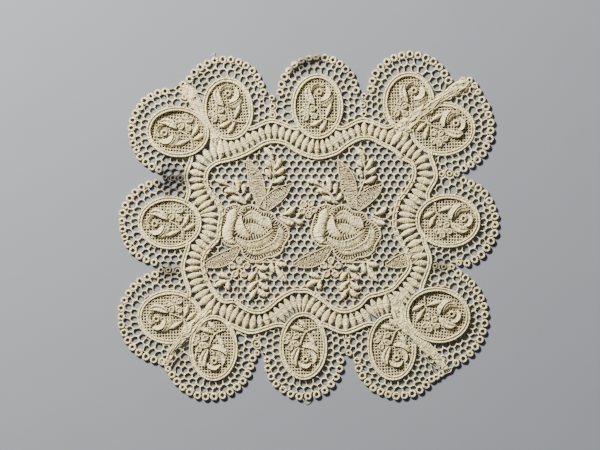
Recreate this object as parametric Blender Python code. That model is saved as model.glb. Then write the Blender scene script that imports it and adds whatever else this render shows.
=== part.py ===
"""A small rectangular doily of machine-made guipure lace, lying flat.

A wide lace band with a scalloped border along its top and bottom makes the middle. A strip of the same
scalloped border is laid over its raw edge at each side, and the turned ends of each strip are whipped
down as a thick seam across the corners. Every sheet has a flat underside and carries its embroidery in
relief: oval medallions with a rose spray, wavy cords with padded spindles between them, two large
padded roses with leaves and sprays, and a net of six-sided holes at up to twice the real pitch.

Layout tables are in pixels of the reference picture, x to the right and y down, and plan() turns them
into millimetres with x to the right and y up. Sizes across and above the cloth are in millimetres.
"""

import math
from collections import namedtuple

import bmesh
import bpy
import numpy as np
from mathutils import Vector
from mathutils.geometry import delaunay_2d_cdt

# Driving sizes
DOILY_WIDTH_MM = 183.0
DOILY_WIDTH_PX = 381.2
MM_PER_PX = DOILY_WIDTH_MM / DOILY_WIDTH_PX
CENTRE_X_PX = 308.3
CENTRE_Y_PX = 225.9
METRES_PER_MM = 0.001

SHEET_THICK = 1.0
PIECE_GAP = 0.3
MERGE_DISTANCE = 0.02

# Picots: the small rings along the scalloped edge
PICOT_DEPTH = 1.3
PICOT_SHOULDER = 0.27

# Cords, seams and spindles
CORD_HALF_WIDTH = 1.05
CORD_RISE = 0.8
CORD_STEP = 5.5
RING_POINTS = 22
SEAM_RISE = 1.7
SEAM_STEP = 6.0
SPINDLE_PITCH = 3.35
SPINDLE_HALF_WIDTH = 0.95
SPINDLE_RISE = 0.6
SPINDLE_END_GAP = 0.3
SPINDLE_SHORTEST = 3.0
SPINDLE_LONGEST = 10.0

# Net: real cells have a pitch of about 3.3 mm and gaps under 3 mm
NET_PITCH = 5.0
NET_HOLE_RADIUS = 2.15
NET_CLEARANCE = 0.35
HOLE_BAR = 0.5
# A border hole starts at a medallion's rim; shares are of its length or of its half-width at the rim
BORDER_HOLE_PITCH = 4.8
BORDER_HOLE_FILL = 0.8
BORDER_CLEARANCE = 0.7
BORDER_ROOM = 0.3
BORDER_HOLE_SHORTEST = 2.2
BORDER_HOLE_LONGEST = 5.2
HOLE_NEAR_WIDTH = 0.7
HOLE_FAR_WIDTH = 0.75
HOLE_WIDEST_AT = 0.55

REACH_START = 0.8
REACH_STEP = 0.2
# Petals and leaves
STROKE_STEP = 2.0
STROKE_FULLNESS = 0.6
STROKE_EDGE_ROOM = 0.6
COVER_MARGIN = 0.4

STITCH_COLOUR = (0.80, 0.76, 0.63, 1.0)
STITCH_ROUGHNESS = 0.85

Scallop = namedtuple("Scallop", "x y radius first_deg last_deg picots valley_x valley_y")
# Clockwise; the valley is the notch after the scallop, towards the next one
TOP_SCALLOPS = (
    Scallop(224.2, 99.2, 43.2, 150, 10, 13, 272, 95),
    Scallop(318.4, 95.8, 41.8, 175, 8, 15, 364, 93),
    Scallop(410.3, 95.4, 44.0, 171, 21, 14, None, None),
)
RIGHT_SCALLOPS = (
    Scallop(445.6, 127.5, 48.9, 37, -66, 11, 461, 173),
    Scallop(452.2, 222.6, 46.7, 75, -70, 14, 460, 268),
    Scallop(434.9, 317.7, 53.6, 62, -65, 14, None, None),
)
BOTTOM_SCALLOPS = (
    Scallop(398.4, 354.0, 45.5, -37, -171, 13, 348, 357),
    Scallop(304.1, 360.1, 40.2, 0, -181, 14, 257, 357),
    Scallop(209.8, 353.8, 46.6, -6, -151, 14, None, None),
)
LEFT_SCALLOPS = (
    Scallop(165.1, 317.4, 47.4, -94, -257, 16, 158, 269),
    Scallop(162.7, 222.6, 44.1, -102, -262, 15, 161, 176),
    Scallop(172.4, 131.3, 44.1, -109, -260, 15, None, None),
)

# Where a side strip ends against the band: down the seam, along the strip's inner cord, out the other seam
LEFT_JOIN = (
    (184, 85), (196, 96), (202, 106), (209, 119), (216, 131), (224, 141), (234, 149), (240, 155),
    (237, 161), (222, 165), (211, 170), (209, 183), (217, 199), (223, 215), (222, 235), (210, 251),
    (205, 264), (208, 277), (217, 291), (228, 298), (238, 301), (237, 306), (224, 310), (211, 316),
    (200, 325), (192, 335), (185, 346), (180, 357), (170, 369),
)
RIGHT_JOIN = (
    (464, 78), (450, 87), (436, 95), (420, 106), (405, 119), (394, 131), (388, 143), (390, 154),
    (398, 160), (408, 164), (412, 173), (409, 182), (401, 193), (394, 206), (391, 220), (394, 234),
    (401, 246), (406, 257), (406, 268), (398, 279), (388, 288), (380, 296), (379, 304), (384, 312),
    (396, 325), (408, 341), (420, 353), (432, 364), (443, 375),
)
Tips = namedtuple("Tips", "top bottom")
# Loose corners of the turned ends, beyond the band
LEFT_STRIP_TIPS = Tips(top=((171, 89), (178, 84)), bottom=((164, 368),))
RIGHT_STRIP_TIPS = Tips(top=((477, 89), (472, 80)), bottom=((449, 376), (455, 369)))

# The first and last entries of a join line that run beside the strip's inner cord
CORD_SPAN = slice(8, 20)

Medallion = namedtuple("Medallion", "x y half_long half_short out_deg mirrored")
TOP_MEDALLIONS = (
    Medallion(228.0, 109, 31.5, 25.5, 97, False),
    Medallion(318.5, 107, 32.0, 25.0, 90, False),
    Medallion(409.0, 103, 31.0, 26.0, 92, False),
)
BOTTOM_MEDALLIONS = (
    Medallion(213.5, 348, 33.0, 24.5, 270, True),
    Medallion(303.5, 346, 34.0, 24.0, 270, True),
    Medallion(392.0, 347, 33.5, 24.5, 274, True),
)
LEFT_MEDALLIONS = (
    Medallion(178.0, 132, 31.5, 25.5, 175, True),
    Medallion(170.0, 223, 32.0, 26.5, 179, True),
    Medallion(170.0, 317, 32.5, 27.0, 182, True),
)
RIGHT_MEDALLIONS = (
    Medallion(442.5, 129, 33.0, 27.0, 2, True),
    Medallion(448.0, 221, 32.5, 26.8, 0, True),
    Medallion(437.5, 315, 33.0, 28.0, -8, True),
)

Stroke = namedtuple("Stroke", "half_width_px rise_mm points")
# One medallion's spray, in pixels: along the medallion's outward axis, then across it
SPRAY_STROKES = (
    Stroke(3.2, 1.1, ((17, 0), (13, -0.5))),
    Stroke(2.8, 1.0, ((19, 11), (9, 8.5), (4, 1))),
    Stroke(2.6, 1.0, ((19, 5.5), (23, -1.5), (18, -9))),
    Stroke(2.8, 1.0, ((7, -2), (8.5, -10), (15, -13))),
    Stroke(4.6, 0.8, ((-1, 9), (-11, 7))),
    Stroke(2.6, 0.8, ((2, -12), (-9, -8))),
    Stroke(2.6, 0.8, ((-19, 8), (-13, -3))),
    Stroke(2.4, 0.8, ((-23, -2), (-14, -8))),
)

REPEAT_PX = 91.5
CENTRE_REPEATS = (0, 1, 2)
# Petals, leaves and leaflets of the band's first repeat
CENTRE_STROKES = (
    Stroke(4.6, 1.5, ((245, 222), (256, 227), (266, 234))),
    Stroke(4.4, 1.2, ((243, 215), (251, 213), (260, 217))),
    Stroke(3.8, 1.2, ((262, 216), (270, 219), (273, 228))),
    Stroke(2.9, 1.3, ((241, 218), (238, 227), (246, 236), (258, 238))),
    Stroke(3.2, 1.4, ((235, 236), (246, 242.5), (262, 242), (275, 230))),
    Stroke(4.4, 1.2, ((245, 250), (260, 255), (276, 246), (282, 233), (279, 226))),
    Stroke(4.2, 1.1, ((236, 207), (230, 214), (230, 225))),
    Stroke(4.4, 1.1, ((225, 227), (226, 236), (234, 243))),
    Stroke(7.2, 0.9, ((247, 161), (256, 182), (261, 203))),
    Stroke(6.2, 0.9, ((291, 186), (278, 194), (264, 205))),
    Stroke(5.8, 0.9, ((203, 261), (220, 259), (238, 248))),
    Stroke(2.6, 0.9, ((266, 149), (272, 158))),
    Stroke(2.4, 0.9, ((265, 161), (273, 168))),
    Stroke(2.4, 0.9, ((266, 169), (272, 179))),
    Stroke(2.4, 0.9, ((281, 158), (275, 167))),
    Stroke(2.4, 0.9, ((285, 167), (276, 175))),
    Stroke(2.4, 0.9, ((286, 177), (274, 182))),
    Stroke(2.4, 0.9, ((216, 180), (228, 185))),
    Stroke(2.4, 0.9, ((236, 176), (237, 188))),
    Stroke(2.4, 0.9, ((245, 183), (243, 194))),
    Stroke(2.4, 0.9, ((224, 190), (235, 192))),
    Stroke(2.4, 0.9, ((231, 197), (243, 202))),
    Stroke(2.4, 0.9, ((294, 207), (284, 215))),
    Stroke(2.4, 0.9, ((293, 225), (281, 219))),
    Stroke(2.6, 0.8, ((302, 209), (311, 203))),
    Stroke(5.0, 0.9, ((233, 268), (247, 268))),
    Stroke(2.4, 0.9, ((218, 274), (229, 278))),
    Stroke(2.4, 0.9, ((215, 287), (227, 282))),
    Stroke(2.4, 0.9, ((249, 281), (257, 272))),
    Stroke(2.4, 0.9, ((249, 291), (258, 282))),
    Stroke(2.4, 0.9, ((268, 280), (260, 273))),
    Stroke(2.4, 0.9, ((268, 290), (260, 283))),
    Stroke(2.6, 0.9, ((267, 270), (257, 265))),
    Stroke(2.6, 0.9, ((287, 265), (274, 262))),
    Stroke(2.6, 0.9, ((286, 282), (277, 267))),
)

# Wavy cords: the outer one joins neighbouring medallions, the inner one bounds the middle net
TOP_CORDS = (
    ((253, 128), (272, 121), (293, 128)),
    ((344, 128), (363, 120), (385, 127)),
    ((243, 157), (257, 146), (271, 141), (285, 143), (300, 152), (319, 157), (336, 153), (351, 142),
     (367, 138), (384, 145)),
)
BOTTOM_CORDS = (
    ((231, 325), (251, 332), (276, 325)),
    ((325, 325), (345, 332), (367, 324)),
    ((242, 307), (254, 312), (268, 308), (283, 297), (300, 291), (317, 296), (333, 308), (348, 311),
     (362, 304), (376, 298)),
)
LEFT_CORDS = (
    ((191, 160), (186, 176), (189, 190)),
    ((188, 247), (183, 268), (189, 290)),
)
RIGHT_CORDS = (
    ((431, 158), (436, 176), (428, 193)),
    ((424, 241), (430, 261), (422, 286)),
)

Seam = namedtuple("Seam", "half_width_px points")
LEFT_SEAMS = (
    Seam(5.6, ((176, 88), (190, 100), (203, 121), (217, 140), (234, 155))),
    Seam(5.6, ((167, 366), (181, 347), (195, 326), (212, 311), (234, 302))),
)
RIGHT_SEAMS = (
    Seam(6.2, ((471, 82), (447, 97), (421, 114), (402, 131), (396, 153))),
    Seam(5.8, ((450, 372), (430, 356), (411, 337), (396, 319), (384, 300))),
)

Ridge = namedtuple("Ridge", "line half_widths rise closed")


def plan(points):
    """Picture pixels to millimetres on the table, as an array of rows x, y."""
    pixels = np.array(points, dtype=float).reshape(-1, 2)
    across = (pixels[:, 0] - CENTRE_X_PX) * MM_PER_PX
    up = (CENTRE_Y_PX - pixels[:, 1]) * MM_PER_PX
    return np.column_stack((across, up))


def polar(centre, radius, degrees):
    angle = math.radians(degrees)
    return np.array((centre[0] + radius * math.cos(angle), centre[1] + radius * math.sin(angle)))


def smooth_line(points, steps=8):
    """A Catmull-Rom curve through the points, with the end points kept."""
    padded = np.vstack((2 * points[0] - points[1], points, 2 * points[-1] - points[-2]))
    curve = [points[0]]
    for before, start, end, after in zip(padded, padded[1:], padded[2:], padded[3:]):
        for step in range(1, steps + 1):
            t = step / steps
            bend = (2 * before - 5 * start + 4 * end - after) * t * t
            twist = (3 * start - before - 3 * end + after) * t ** 3
            curve.append(0.5 * (2 * start + (end - before) * t + bend + twist))
    return np.array(curve)


def spaced(points, spacing):
    """Points along a line, at least two steps of about the given length."""
    lengths = np.linalg.norm(np.diff(points, axis=0), axis=1)
    along = np.concatenate(((0.0,), np.cumsum(lengths)))
    count = max(2, round(along[-1] / spacing))
    marks = np.linspace(0.0, along[-1], count + 1)
    return np.column_stack((np.interp(marks, along, points[:, 0]), np.interp(marks, along, points[:, 1])))


def left_normals(line, closed=False):
    """Unit vectors to the left of a line's direction, one for each point."""
    if closed:
        run = np.roll(line, -1, axis=0) - np.roll(line, 1, axis=0)
    else:
        run = np.gradient(line, axis=0)
    run = run / np.linalg.norm(run, axis=1)[:, None]
    return np.column_stack((-run[:, 1], run[:, 0]))


def open_ridge(line, half_width, rise):
    """A ridge that tapers to a point at both ends."""
    half_widths = np.full(len(line), half_width)
    half_widths[0] = 0.0
    half_widths[-1] = 0.0
    return Ridge(line, half_widths, rise, False)


def stroke_ridge(points, half_width, rise):
    """A satin-stitched petal or leaf: a curved spine, widest at the middle."""
    line = spaced(smooth_line(points), STROKE_STEP)
    share = np.linspace(0.0, 1.0, len(line))
    return Ridge(line, half_width * np.sin(math.pi * share) ** STROKE_FULLNESS, rise, False)


def ring_ridge(medallion):
    """The double cord round a medallion."""
    centre = plan((medallion.x, medallion.y))[0]
    out = math.radians(medallion.out_deg)
    along = np.array((math.cos(out), math.sin(out)))
    across = np.array((-along[1], along[0]))
    turns = np.linspace(0.0, 2 * math.pi, RING_POINTS, endpoint=False)
    half_long = medallion.half_long * MM_PER_PX - CORD_HALF_WIDTH
    half_short = medallion.half_short * MM_PER_PX - CORD_HALF_WIDTH
    line = centre + half_long * np.cos(turns)[:, None] * along + half_short * np.sin(turns)[:, None] * across
    return Ridge(line, np.full(RING_POINTS, CORD_HALF_WIDTH), CORD_RISE, True)


def spray_ridges(medallion):
    """The rose, small flower and leaves inside a medallion."""
    centre = plan((medallion.x, medallion.y))[0]
    out = math.radians(medallion.out_deg)
    along = np.array((math.cos(out), math.sin(out)))
    across = np.array((-along[1], along[0])) * (-1 if medallion.mirrored else 1)
    ridges = []
    for stroke in SPRAY_STROKES:
        local = np.array(stroke.points, dtype=float) * MM_PER_PX
        line = centre + local[:, :1] * along + local[:, 1:] * across
        ridges.append(stroke_ridge(line, stroke.half_width_px * MM_PER_PX, stroke.rise_mm))
    return ridges


def segments_of(ridges):
    """Start, end and half-widths of every spine segment, with its ridge's rise over its greatest width."""
    rows = []
    for ridge in ridges:
        following = np.roll(ridge.line, -1, axis=0)
        following_widths = np.roll(ridge.half_widths, -1)
        count = len(ridge.line) if ridge.closed else len(ridge.line) - 1
        slope = ridge.rise / ridge.half_widths.max()
        for index in range(count):
            rows.append((*ridge.line[index], *following[index], ridge.half_widths[index],
                         following_widths[index], slope))
    return np.array(rows)


def segment_distances(points, starts, ends):
    """Distance from each point to each segment, and the share along the segment of the nearest spot."""
    run = ends - starts
    offset = points[:, None, :] - starts[None, :, :]
    share = (offset * run).sum(axis=2) / np.maximum((run * run).sum(axis=1), 1e-9)
    share = np.clip(share, 0.0, 1.0)
    nearest = offset - share[:, :, None] * run
    return np.linalg.norm(nearest, axis=2), share


def relief(points, ridges):
    """Height of the embroidery above the sheet: the highest ridge, each one a roof over its spine."""
    rows = segments_of(ridges)
    distance, share = segment_distances(points, rows[:, 0:2], rows[:, 2:4])
    half_width = rows[:, 4] + (rows[:, 5] - rows[:, 4]) * share
    return np.maximum((half_width - distance) * rows[:, 6], 0.0).max(axis=1)


def room_to_ridges(points, ridges):
    """Distance from each point to the nearest ridge's foot, below zero on a ridge."""
    rows = segments_of(ridges)
    distance, share = segment_distances(points, rows[:, 0:2], rows[:, 2:4])
    half_width = rows[:, 4] + (rows[:, 5] - rows[:, 4]) * share
    return (distance - half_width).min(axis=1)


def room_to_edge(points, outline):
    """Distance from each point to the outline, below zero outside it."""
    distance, _ = segment_distances(points, outline, np.roll(outline, -1, axis=0))
    return np.where(inside(points, [outline]), distance.min(axis=1), -1.0)


def inside(points, loops):
    """Even-odd test of points against closed loops."""
    crossings = np.zeros(len(points), dtype=int)
    for loop in loops:
        start = loop
        end = np.roll(loop, -1, axis=0)
        spans = (start[None, :, 1] > points[:, None, 1]) != (end[None, :, 1] > points[:, None, 1])
        rise = np.where(start[:, 1] == end[:, 1], 1.0, end[:, 1] - start[:, 1])
        reach = start[:, 0] + (points[:, None, 1] - start[:, 1]) / rise * (end[:, 0] - start[:, 0])
        crossings += (spans & (points[:, None, 0] < reach)).sum(axis=1)
    return crossings % 2 == 1


def scallop_edge(scallops):
    """Outline of a run of scallops, with a bump for each picot and a notch between scallops."""
    edge = []
    for scallop in scallops:
        centre = plan((scallop.x, scallop.y))[0]
        radius = scallop.radius * MM_PER_PX
        step = (scallop.last_deg - scallop.first_deg) / (scallop.picots - 1)
        for picot in range(scallop.picots):
            middle = scallop.first_deg + picot * step
            edge.append(polar(centre, radius, middle - PICOT_SHOULDER * step))
            edge.append(polar(centre, radius, middle + PICOT_SHOULDER * step))
            if picot < scallop.picots - 1:
                edge.append(polar(centre, radius - PICOT_DEPTH, middle + 0.5 * step))
        if scallop.valley_x is not None:
            edge.append(plan((scallop.valley_x, scallop.valley_y))[0])
    return edge


def join_line(join, side):
    """A join line moved half of the gap towards the band (+1) or towards the strip (-1)."""
    line = plan(join)
    return line + left_normals(line) * side * PIECE_GAP / 2


def is_clear(hole, outline, ridges, clearance):
    """Whether a hole's corners and the middles of its sides keep clear of the edge and of every ridge."""
    points = np.vstack((hole, 0.5 * (hole + np.roll(hole, -1, axis=0))))
    return min(room_to_edge(points, outline).min(), room_to_ridges(points, ridges).min()) > clearance


def cell_holes(net_loop, ridges):
    """Six-sided net holes on a honeycomb grid, where the middle net lies open."""
    holes = []
    low = net_loop.min(axis=0)
    high = net_loop.max(axis=0)
    row_pitch = NET_PITCH * math.sin(math.radians(60))
    for row in range(math.ceil((high[1] - low[1]) / row_pitch)):
        shift = 0.5 * (row % 2)
        for column in range(math.ceil((high[0] - low[0]) / NET_PITCH)):
            centre = low + ((column + shift) * NET_PITCH, row * row_pitch)
            holes.append(np.array([polar(centre, NET_HOLE_RADIUS, corner * 60 + 30) for corner in range(6)]))
    return [hole for hole in holes if is_clear(hole, net_loop, ridges, NET_CLEARANCE)]


def reach_from(start, direction, outline, ridges, longest):
    """How far a straight line runs before it nears the edge or a ridge."""
    steps = np.arange(REACH_START, longest, REACH_STEP)
    points = start + steps[:, None] * direction
    room = np.minimum(room_to_edge(points, outline), room_to_ridges(points, ridges))
    blocked = np.nonzero(room < 0.0)[0]
    return steps[blocked[0]] if len(blocked) else longest


def border_holes(ring, outline, ridges):
    """One row of six-sided holes round a medallion, each reaching out as far as the net does."""
    centre = ring.line.mean(axis=0)
    outward = -left_normals(ring.line, closed=True)
    rim = ring.line + outward * CORD_HALF_WIDTH
    loop = np.vstack((rim, rim[:1]))
    spots = spaced(loop, BORDER_HOLE_PITCH)[:-1]
    holes = []
    for index, spot in enumerate(spots):
        following = spots[(index + 1) % len(spots)]
        middle = 0.5 * (spot + following)
        side = 0.5 * BORDER_HOLE_FILL * (following - spot)
        out = (middle - centre) / np.linalg.norm(middle - centre)
        starts = (middle - side * HOLE_NEAR_WIDTH, middle + side * HOLE_NEAR_WIDTH)
        reach = min(reach_from(start, out, outline, ridges, BORDER_HOLE_LONGEST + 2 * BORDER_CLEARANCE)
                    for start in starts)
        length = reach - 2 * BORDER_CLEARANCE
        if length < BORDER_HOLE_SHORTEST:
            continue
        near = middle + out * BORDER_CLEARANCE
        widest = near + out * HOLE_WIDEST_AT * length
        far = near + out * length
        spread = side * (1.0 + length / np.linalg.norm(middle - centre))
        hole = np.array((
            near - side * HOLE_NEAR_WIDTH, near + side * HOLE_NEAR_WIDTH, widest + spread,
            far + spread * HOLE_FAR_WIDTH, far - spread * HOLE_FAR_WIDTH, widest - spread,
        ))
        if is_clear(hole, outline, ridges, BORDER_ROOM):
            holes.append(hole)
    return holes


def apart(holes, others):
    """The holes whose corners keep a bar's width from every hole in the other list."""
    kept = []
    for hole in holes:
        near = False
        for other in others + kept:
            if np.linalg.norm(hole.mean(axis=0) - other.mean(axis=0)) > 3 * NET_HOLE_RADIUS:
                continue
            distance, _ = segment_distances(hole, other, np.roll(other, -1, axis=0))
            back, _ = segment_distances(other, hole, np.roll(hole, -1, axis=0))
            touching = min(distance.min(), back.min()) < HOLE_BAR
            near = near or touching or inside(hole.mean(axis=0)[None, :], [other])[0]
        if not near:
            kept.append(hole)
    return kept


def spindle_ridges(cord, outline, ridges, side):
    """Padded spindles that stand on a wavy cord and reach the next cord or medallion."""
    spots = spaced(cord, SPINDLE_PITCH)
    normals = left_normals(spots) * side
    spindles = []
    for spot, normal in zip(spots, normals):
        start = spot + normal * (CORD_HALF_WIDTH + SPINDLE_END_GAP)
        length = reach_from(start, normal, outline, ridges, SPINDLE_LONGEST) - SPINDLE_END_GAP
        if SPINDLE_SHORTEST <= length < SPINDLE_LONGEST - 2 * SPINDLE_END_GAP:
            line = np.array((start, start + 0.5 * length * normal, start + length * normal))
            spindles.append(open_ridge(line, SPINDLE_HALF_WIDTH, SPINDLE_RISE))
    return spindles


def centre_ridges(outline):
    """Petals, leaves and sprays of the middle net that lie wholly on the band."""
    ridges = []
    for repeat in CENTRE_REPEATS:
        for stroke in CENTRE_STROKES:
            points = np.array(stroke.points, dtype=float) + (repeat * REPEAT_PX, 0.0)
            ridge = stroke_ridge(plan(points), stroke.half_width_px * MM_PER_PX, stroke.rise_mm)
            if room_to_edge(ridge.line, outline).min() > STROKE_EDGE_ROOM:
                ridges.append(ridge)
    return ridges


def foot_loop(ridge):
    """The closed line where a ridge meets the sheet; a closed ridge has two."""
    offset = left_normals(ridge.line, ridge.closed) * ridge.half_widths[:, None]
    if ridge.closed:
        return [ridge.line + offset, ridge.line - offset]
    return [np.vstack((ridge.line + offset, (ridge.line - offset)[-2:0:-1]))]


def relief_lines(ridges, covers):
    """Every crest and foot line, as runs of points that no covering ridge hides."""
    lines = []
    for ridge in ridges:
        loops = foot_loop(ridge)
        paths = [np.vstack((loop, loop[:1])) for loop in loops]
        crest = ridge.line if not ridge.closed else np.vstack((ridge.line, ridge.line[:1]))
        for path in paths + [crest]:
            hidden = np.zeros(len(path), dtype=bool)
            if covers:
                hidden = room_to_ridges(path, covers) < COVER_MARGIN
            run = []
            for point, under in zip(path, hidden):
                if under:
                    lines.append(run)
                    run = []
                else:
                    run.append(point)
            lines.append(run)
    return [line for line in lines if line]


def triangles_of(outline, holes, lines):
    """Triangles of the flat sheet, with the relief lines as edges and the holes left open."""
    points = []
    edges = []

    def add(path, closed):
        first = len(points)
        points.extend(Vector(point) for point in path)
        edges.extend((first + index, first + index + 1) for index in range(len(path) - 1))
        if closed:
            edges.append((len(points) - 1, first))

    add(outline, True)
    for hole in holes:
        add(hole, True)
    for line in lines:
        add(line, False)
    found = delaunay_2d_cdt(points, edges, [], 0, MERGE_DISTANCE)
    corners = np.array([tuple(vertex) for vertex in found[0]])
    faces = np.array(found[2])
    kept = faces[inside(corners[faces].mean(axis=1), [outline] + holes)]
    return corners, kept


def sheet_mesh(name, outline, holes, ridges, covers):
    """A flat-bottomed sheet of lace, its top raised by the ridges."""
    corners, faces = triangles_of(outline, holes, relief_lines(ridges, covers) + relief_lines(covers, []))
    heights = SHEET_THICK + relief(corners, ridges + covers)
    used = sorted(set(faces.ravel()))
    mesh = bmesh.new()
    vertices = {}
    for index in used:
        vertices[index] = mesh.verts.new((*corners[index] * METRES_PER_MM, 0.0))
    for face in faces:
        mesh.faces.new([vertices[index] for index in face])
    top_height = {tuple(vertices[index].co.xy): heights[index] * METRES_PER_MM for index in used}
    raised = bmesh.ops.extrude_face_region(mesh, geom=mesh.faces[:])
    for item in raised["geom"]:
        if isinstance(item, bmesh.types.BMVert):
            item.co.z = top_height[tuple(item.co.xy)]
    under = [vertex for vertex in mesh.verts if vertex.co.z == 0.0]
    under_edges = [edge for edge in mesh.edges if all(vertex.co.z == 0.0 for vertex in edge.verts)]
    bmesh.ops.dissolve_limit(mesh, angle_limit=math.radians(0.5), verts=under, edges=under_edges)
    bmesh.ops.triangulate(mesh, faces=mesh.faces[:])
    bmesh.ops.recalc_face_normals(mesh, faces=mesh.faces[:])
    data = bpy.data.meshes.new(name)
    mesh.to_mesh(data)
    mesh.free()
    return data


def stitch_material():
    """Matt cream cotton thread."""
    material = bpy.data.materials.new("cotton_lace")
    material.use_nodes = True
    shader = material.node_tree.nodes["Principled BSDF"]
    shader.inputs["Base Color"].default_value = STITCH_COLOUR
    shader.inputs["Roughness"].default_value = STITCH_ROUGHNESS
    shader.inputs["Metallic"].default_value = 0.0
    return material


def add_sheet(collection, name, outline, holes, ridges, covers, material):
    data = sheet_mesh(name, outline, holes, ridges, covers)
    data.materials.append(material)
    sheet = bpy.data.objects.new(name, data)
    collection.objects.link(sheet)


def make_band(collection, material):
    """The wide band: top border, middle net with the roses, bottom border."""
    right = join_line(RIGHT_JOIN, -1)[1:-1]
    left = join_line(LEFT_JOIN, 1)[1:-1]
    top_edge = scallop_edge(TOP_SCALLOPS)
    bottom_edge = scallop_edge(BOTTOM_SCALLOPS)
    outline = np.array(top_edge + list(right) + bottom_edge + list(left[::-1]))
    rings = [ring_ridge(medallion) for medallion in TOP_MEDALLIONS + BOTTOM_MEDALLIONS]
    cord_lines = [spaced(smooth_line(plan(cord)), CORD_STEP) for cord in TOP_CORDS + BOTTOM_CORDS]
    cords = [open_ridge(line, CORD_HALF_WIDTH, CORD_RISE) for line in cord_lines]
    base = rings + cords
    top_spindles = spindle_ridges(smooth_line(plan(TOP_CORDS[2])), outline, base, 1)
    bottom_spindles = spindle_ridges(smooth_line(plan(BOTTOM_CORDS[2])), outline, base, -1)
    ridges = base + top_spindles + bottom_spindles + centre_ridges(outline)
    for medallion in TOP_MEDALLIONS + BOTTOM_MEDALLIONS:
        ridges += spray_ridges(medallion)
    holes = []
    for ring in rings:
        holes += apart(border_holes(ring, outline, ridges), holes)
    net_loop = np.vstack((cord_lines[2], plan(RIGHT_JOIN[CORD_SPAN]), cord_lines[5][::-1],
                          plan(LEFT_JOIN[CORD_SPAN])[::-1]))
    holes += apart(cell_holes(net_loop, ridges), holes)
    add_sheet(collection, "centre_band", outline, holes, ridges, [], material)


def make_strip(collection, material, name, scallops, tips, join, medallions, cord_routes, seams, side):
    """A side strip: its scalloped border, its inner cord and its two whipped ends."""
    join_side = list(plan(tips.top)) + list(join_line(join, side)) + list(plan(tips.bottom))
    outline = np.array(scallop_edge(scallops) + join_side[::-side])
    covers = []
    for seam in seams:
        line = spaced(smooth_line(plan(seam.points)), SEAM_STEP)
        covers.append(open_ridge(line, seam.half_width_px * MM_PER_PX - PIECE_GAP, SEAM_RISE))
    rings = [ring_ridge(medallion) for medallion in medallions]
    edge = smooth_line(plan(join[CORD_SPAN]))
    inner_cord = edge + left_normals(edge) * side * (CORD_HALF_WIDTH + PIECE_GAP)
    routes = [smooth_line(plan(route)) for route in cord_routes] + [inner_cord]
    cords = [open_ridge(spaced(route, CORD_STEP), CORD_HALF_WIDTH, CORD_RISE) for route in routes]
    base = rings + cords
    ridges = base + spindle_ridges(inner_cord, outline, base + covers, side)
    for medallion in medallions:
        ridges += spray_ridges(medallion)
    holes = []
    for ring in rings:
        holes += apart(border_holes(ring, outline, ridges + covers), holes)
    add_sheet(collection, name, outline, holes, ridges, covers, material)


def make_doily():
    for old in list(bpy.data.objects):
        bpy.data.objects.remove(old, do_unlink=True)
    collection = bpy.data.collections.new("doily")
    bpy.context.scene.collection.children.link(collection)
    material = stitch_material()
    make_band(collection, material)
    make_strip(collection, material, "left_strip", LEFT_SCALLOPS, LEFT_STRIP_TIPS, LEFT_JOIN,
               LEFT_MEDALLIONS, LEFT_CORDS, LEFT_SEAMS, -1)
    make_strip(collection, material, "right_strip", RIGHT_SCALLOPS, RIGHT_STRIP_TIPS, RIGHT_JOIN,
               RIGHT_MEDALLIONS, RIGHT_CORDS, RIGHT_SEAMS, 1)


make_doily()
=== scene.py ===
"""Looks for the lace doily: net, picots, cords, mesh-filled medallions, padded roses, sprays and seams.

Layout tables are in pixels of the reference picture, x to the right and y down; plan() turns them into
millimetres in the row frame, x to the right and y up. Sizes named _MM and all heights are millimetres.
"""
import math
from collections import namedtuple

import bmesh
import bpy
import numpy as np
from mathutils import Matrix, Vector, noise
from mathutils.geometry import delaunay_2d_cdt


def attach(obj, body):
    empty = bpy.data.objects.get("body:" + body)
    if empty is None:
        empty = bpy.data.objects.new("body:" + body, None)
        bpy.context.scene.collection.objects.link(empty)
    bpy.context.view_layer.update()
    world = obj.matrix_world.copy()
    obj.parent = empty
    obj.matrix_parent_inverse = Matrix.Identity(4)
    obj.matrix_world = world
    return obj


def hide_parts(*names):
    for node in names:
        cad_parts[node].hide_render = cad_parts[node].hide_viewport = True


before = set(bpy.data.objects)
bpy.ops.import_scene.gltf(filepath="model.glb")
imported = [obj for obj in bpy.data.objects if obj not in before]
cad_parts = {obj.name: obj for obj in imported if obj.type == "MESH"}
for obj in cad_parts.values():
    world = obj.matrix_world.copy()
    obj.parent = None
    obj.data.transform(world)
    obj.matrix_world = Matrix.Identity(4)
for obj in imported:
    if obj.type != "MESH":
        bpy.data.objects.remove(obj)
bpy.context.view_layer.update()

# Frame of the layout tables
MM_PER_PX = 183.0 / 381.2
CENTRE_X_PX = 308.3
CENTRE_Y_PX = 225.9
PICTURE_WIDTH_PX = 600
PICTURE_HEIGHT_PX = 450
METRES_PER_MM = 0.001
SEED = 8

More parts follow.
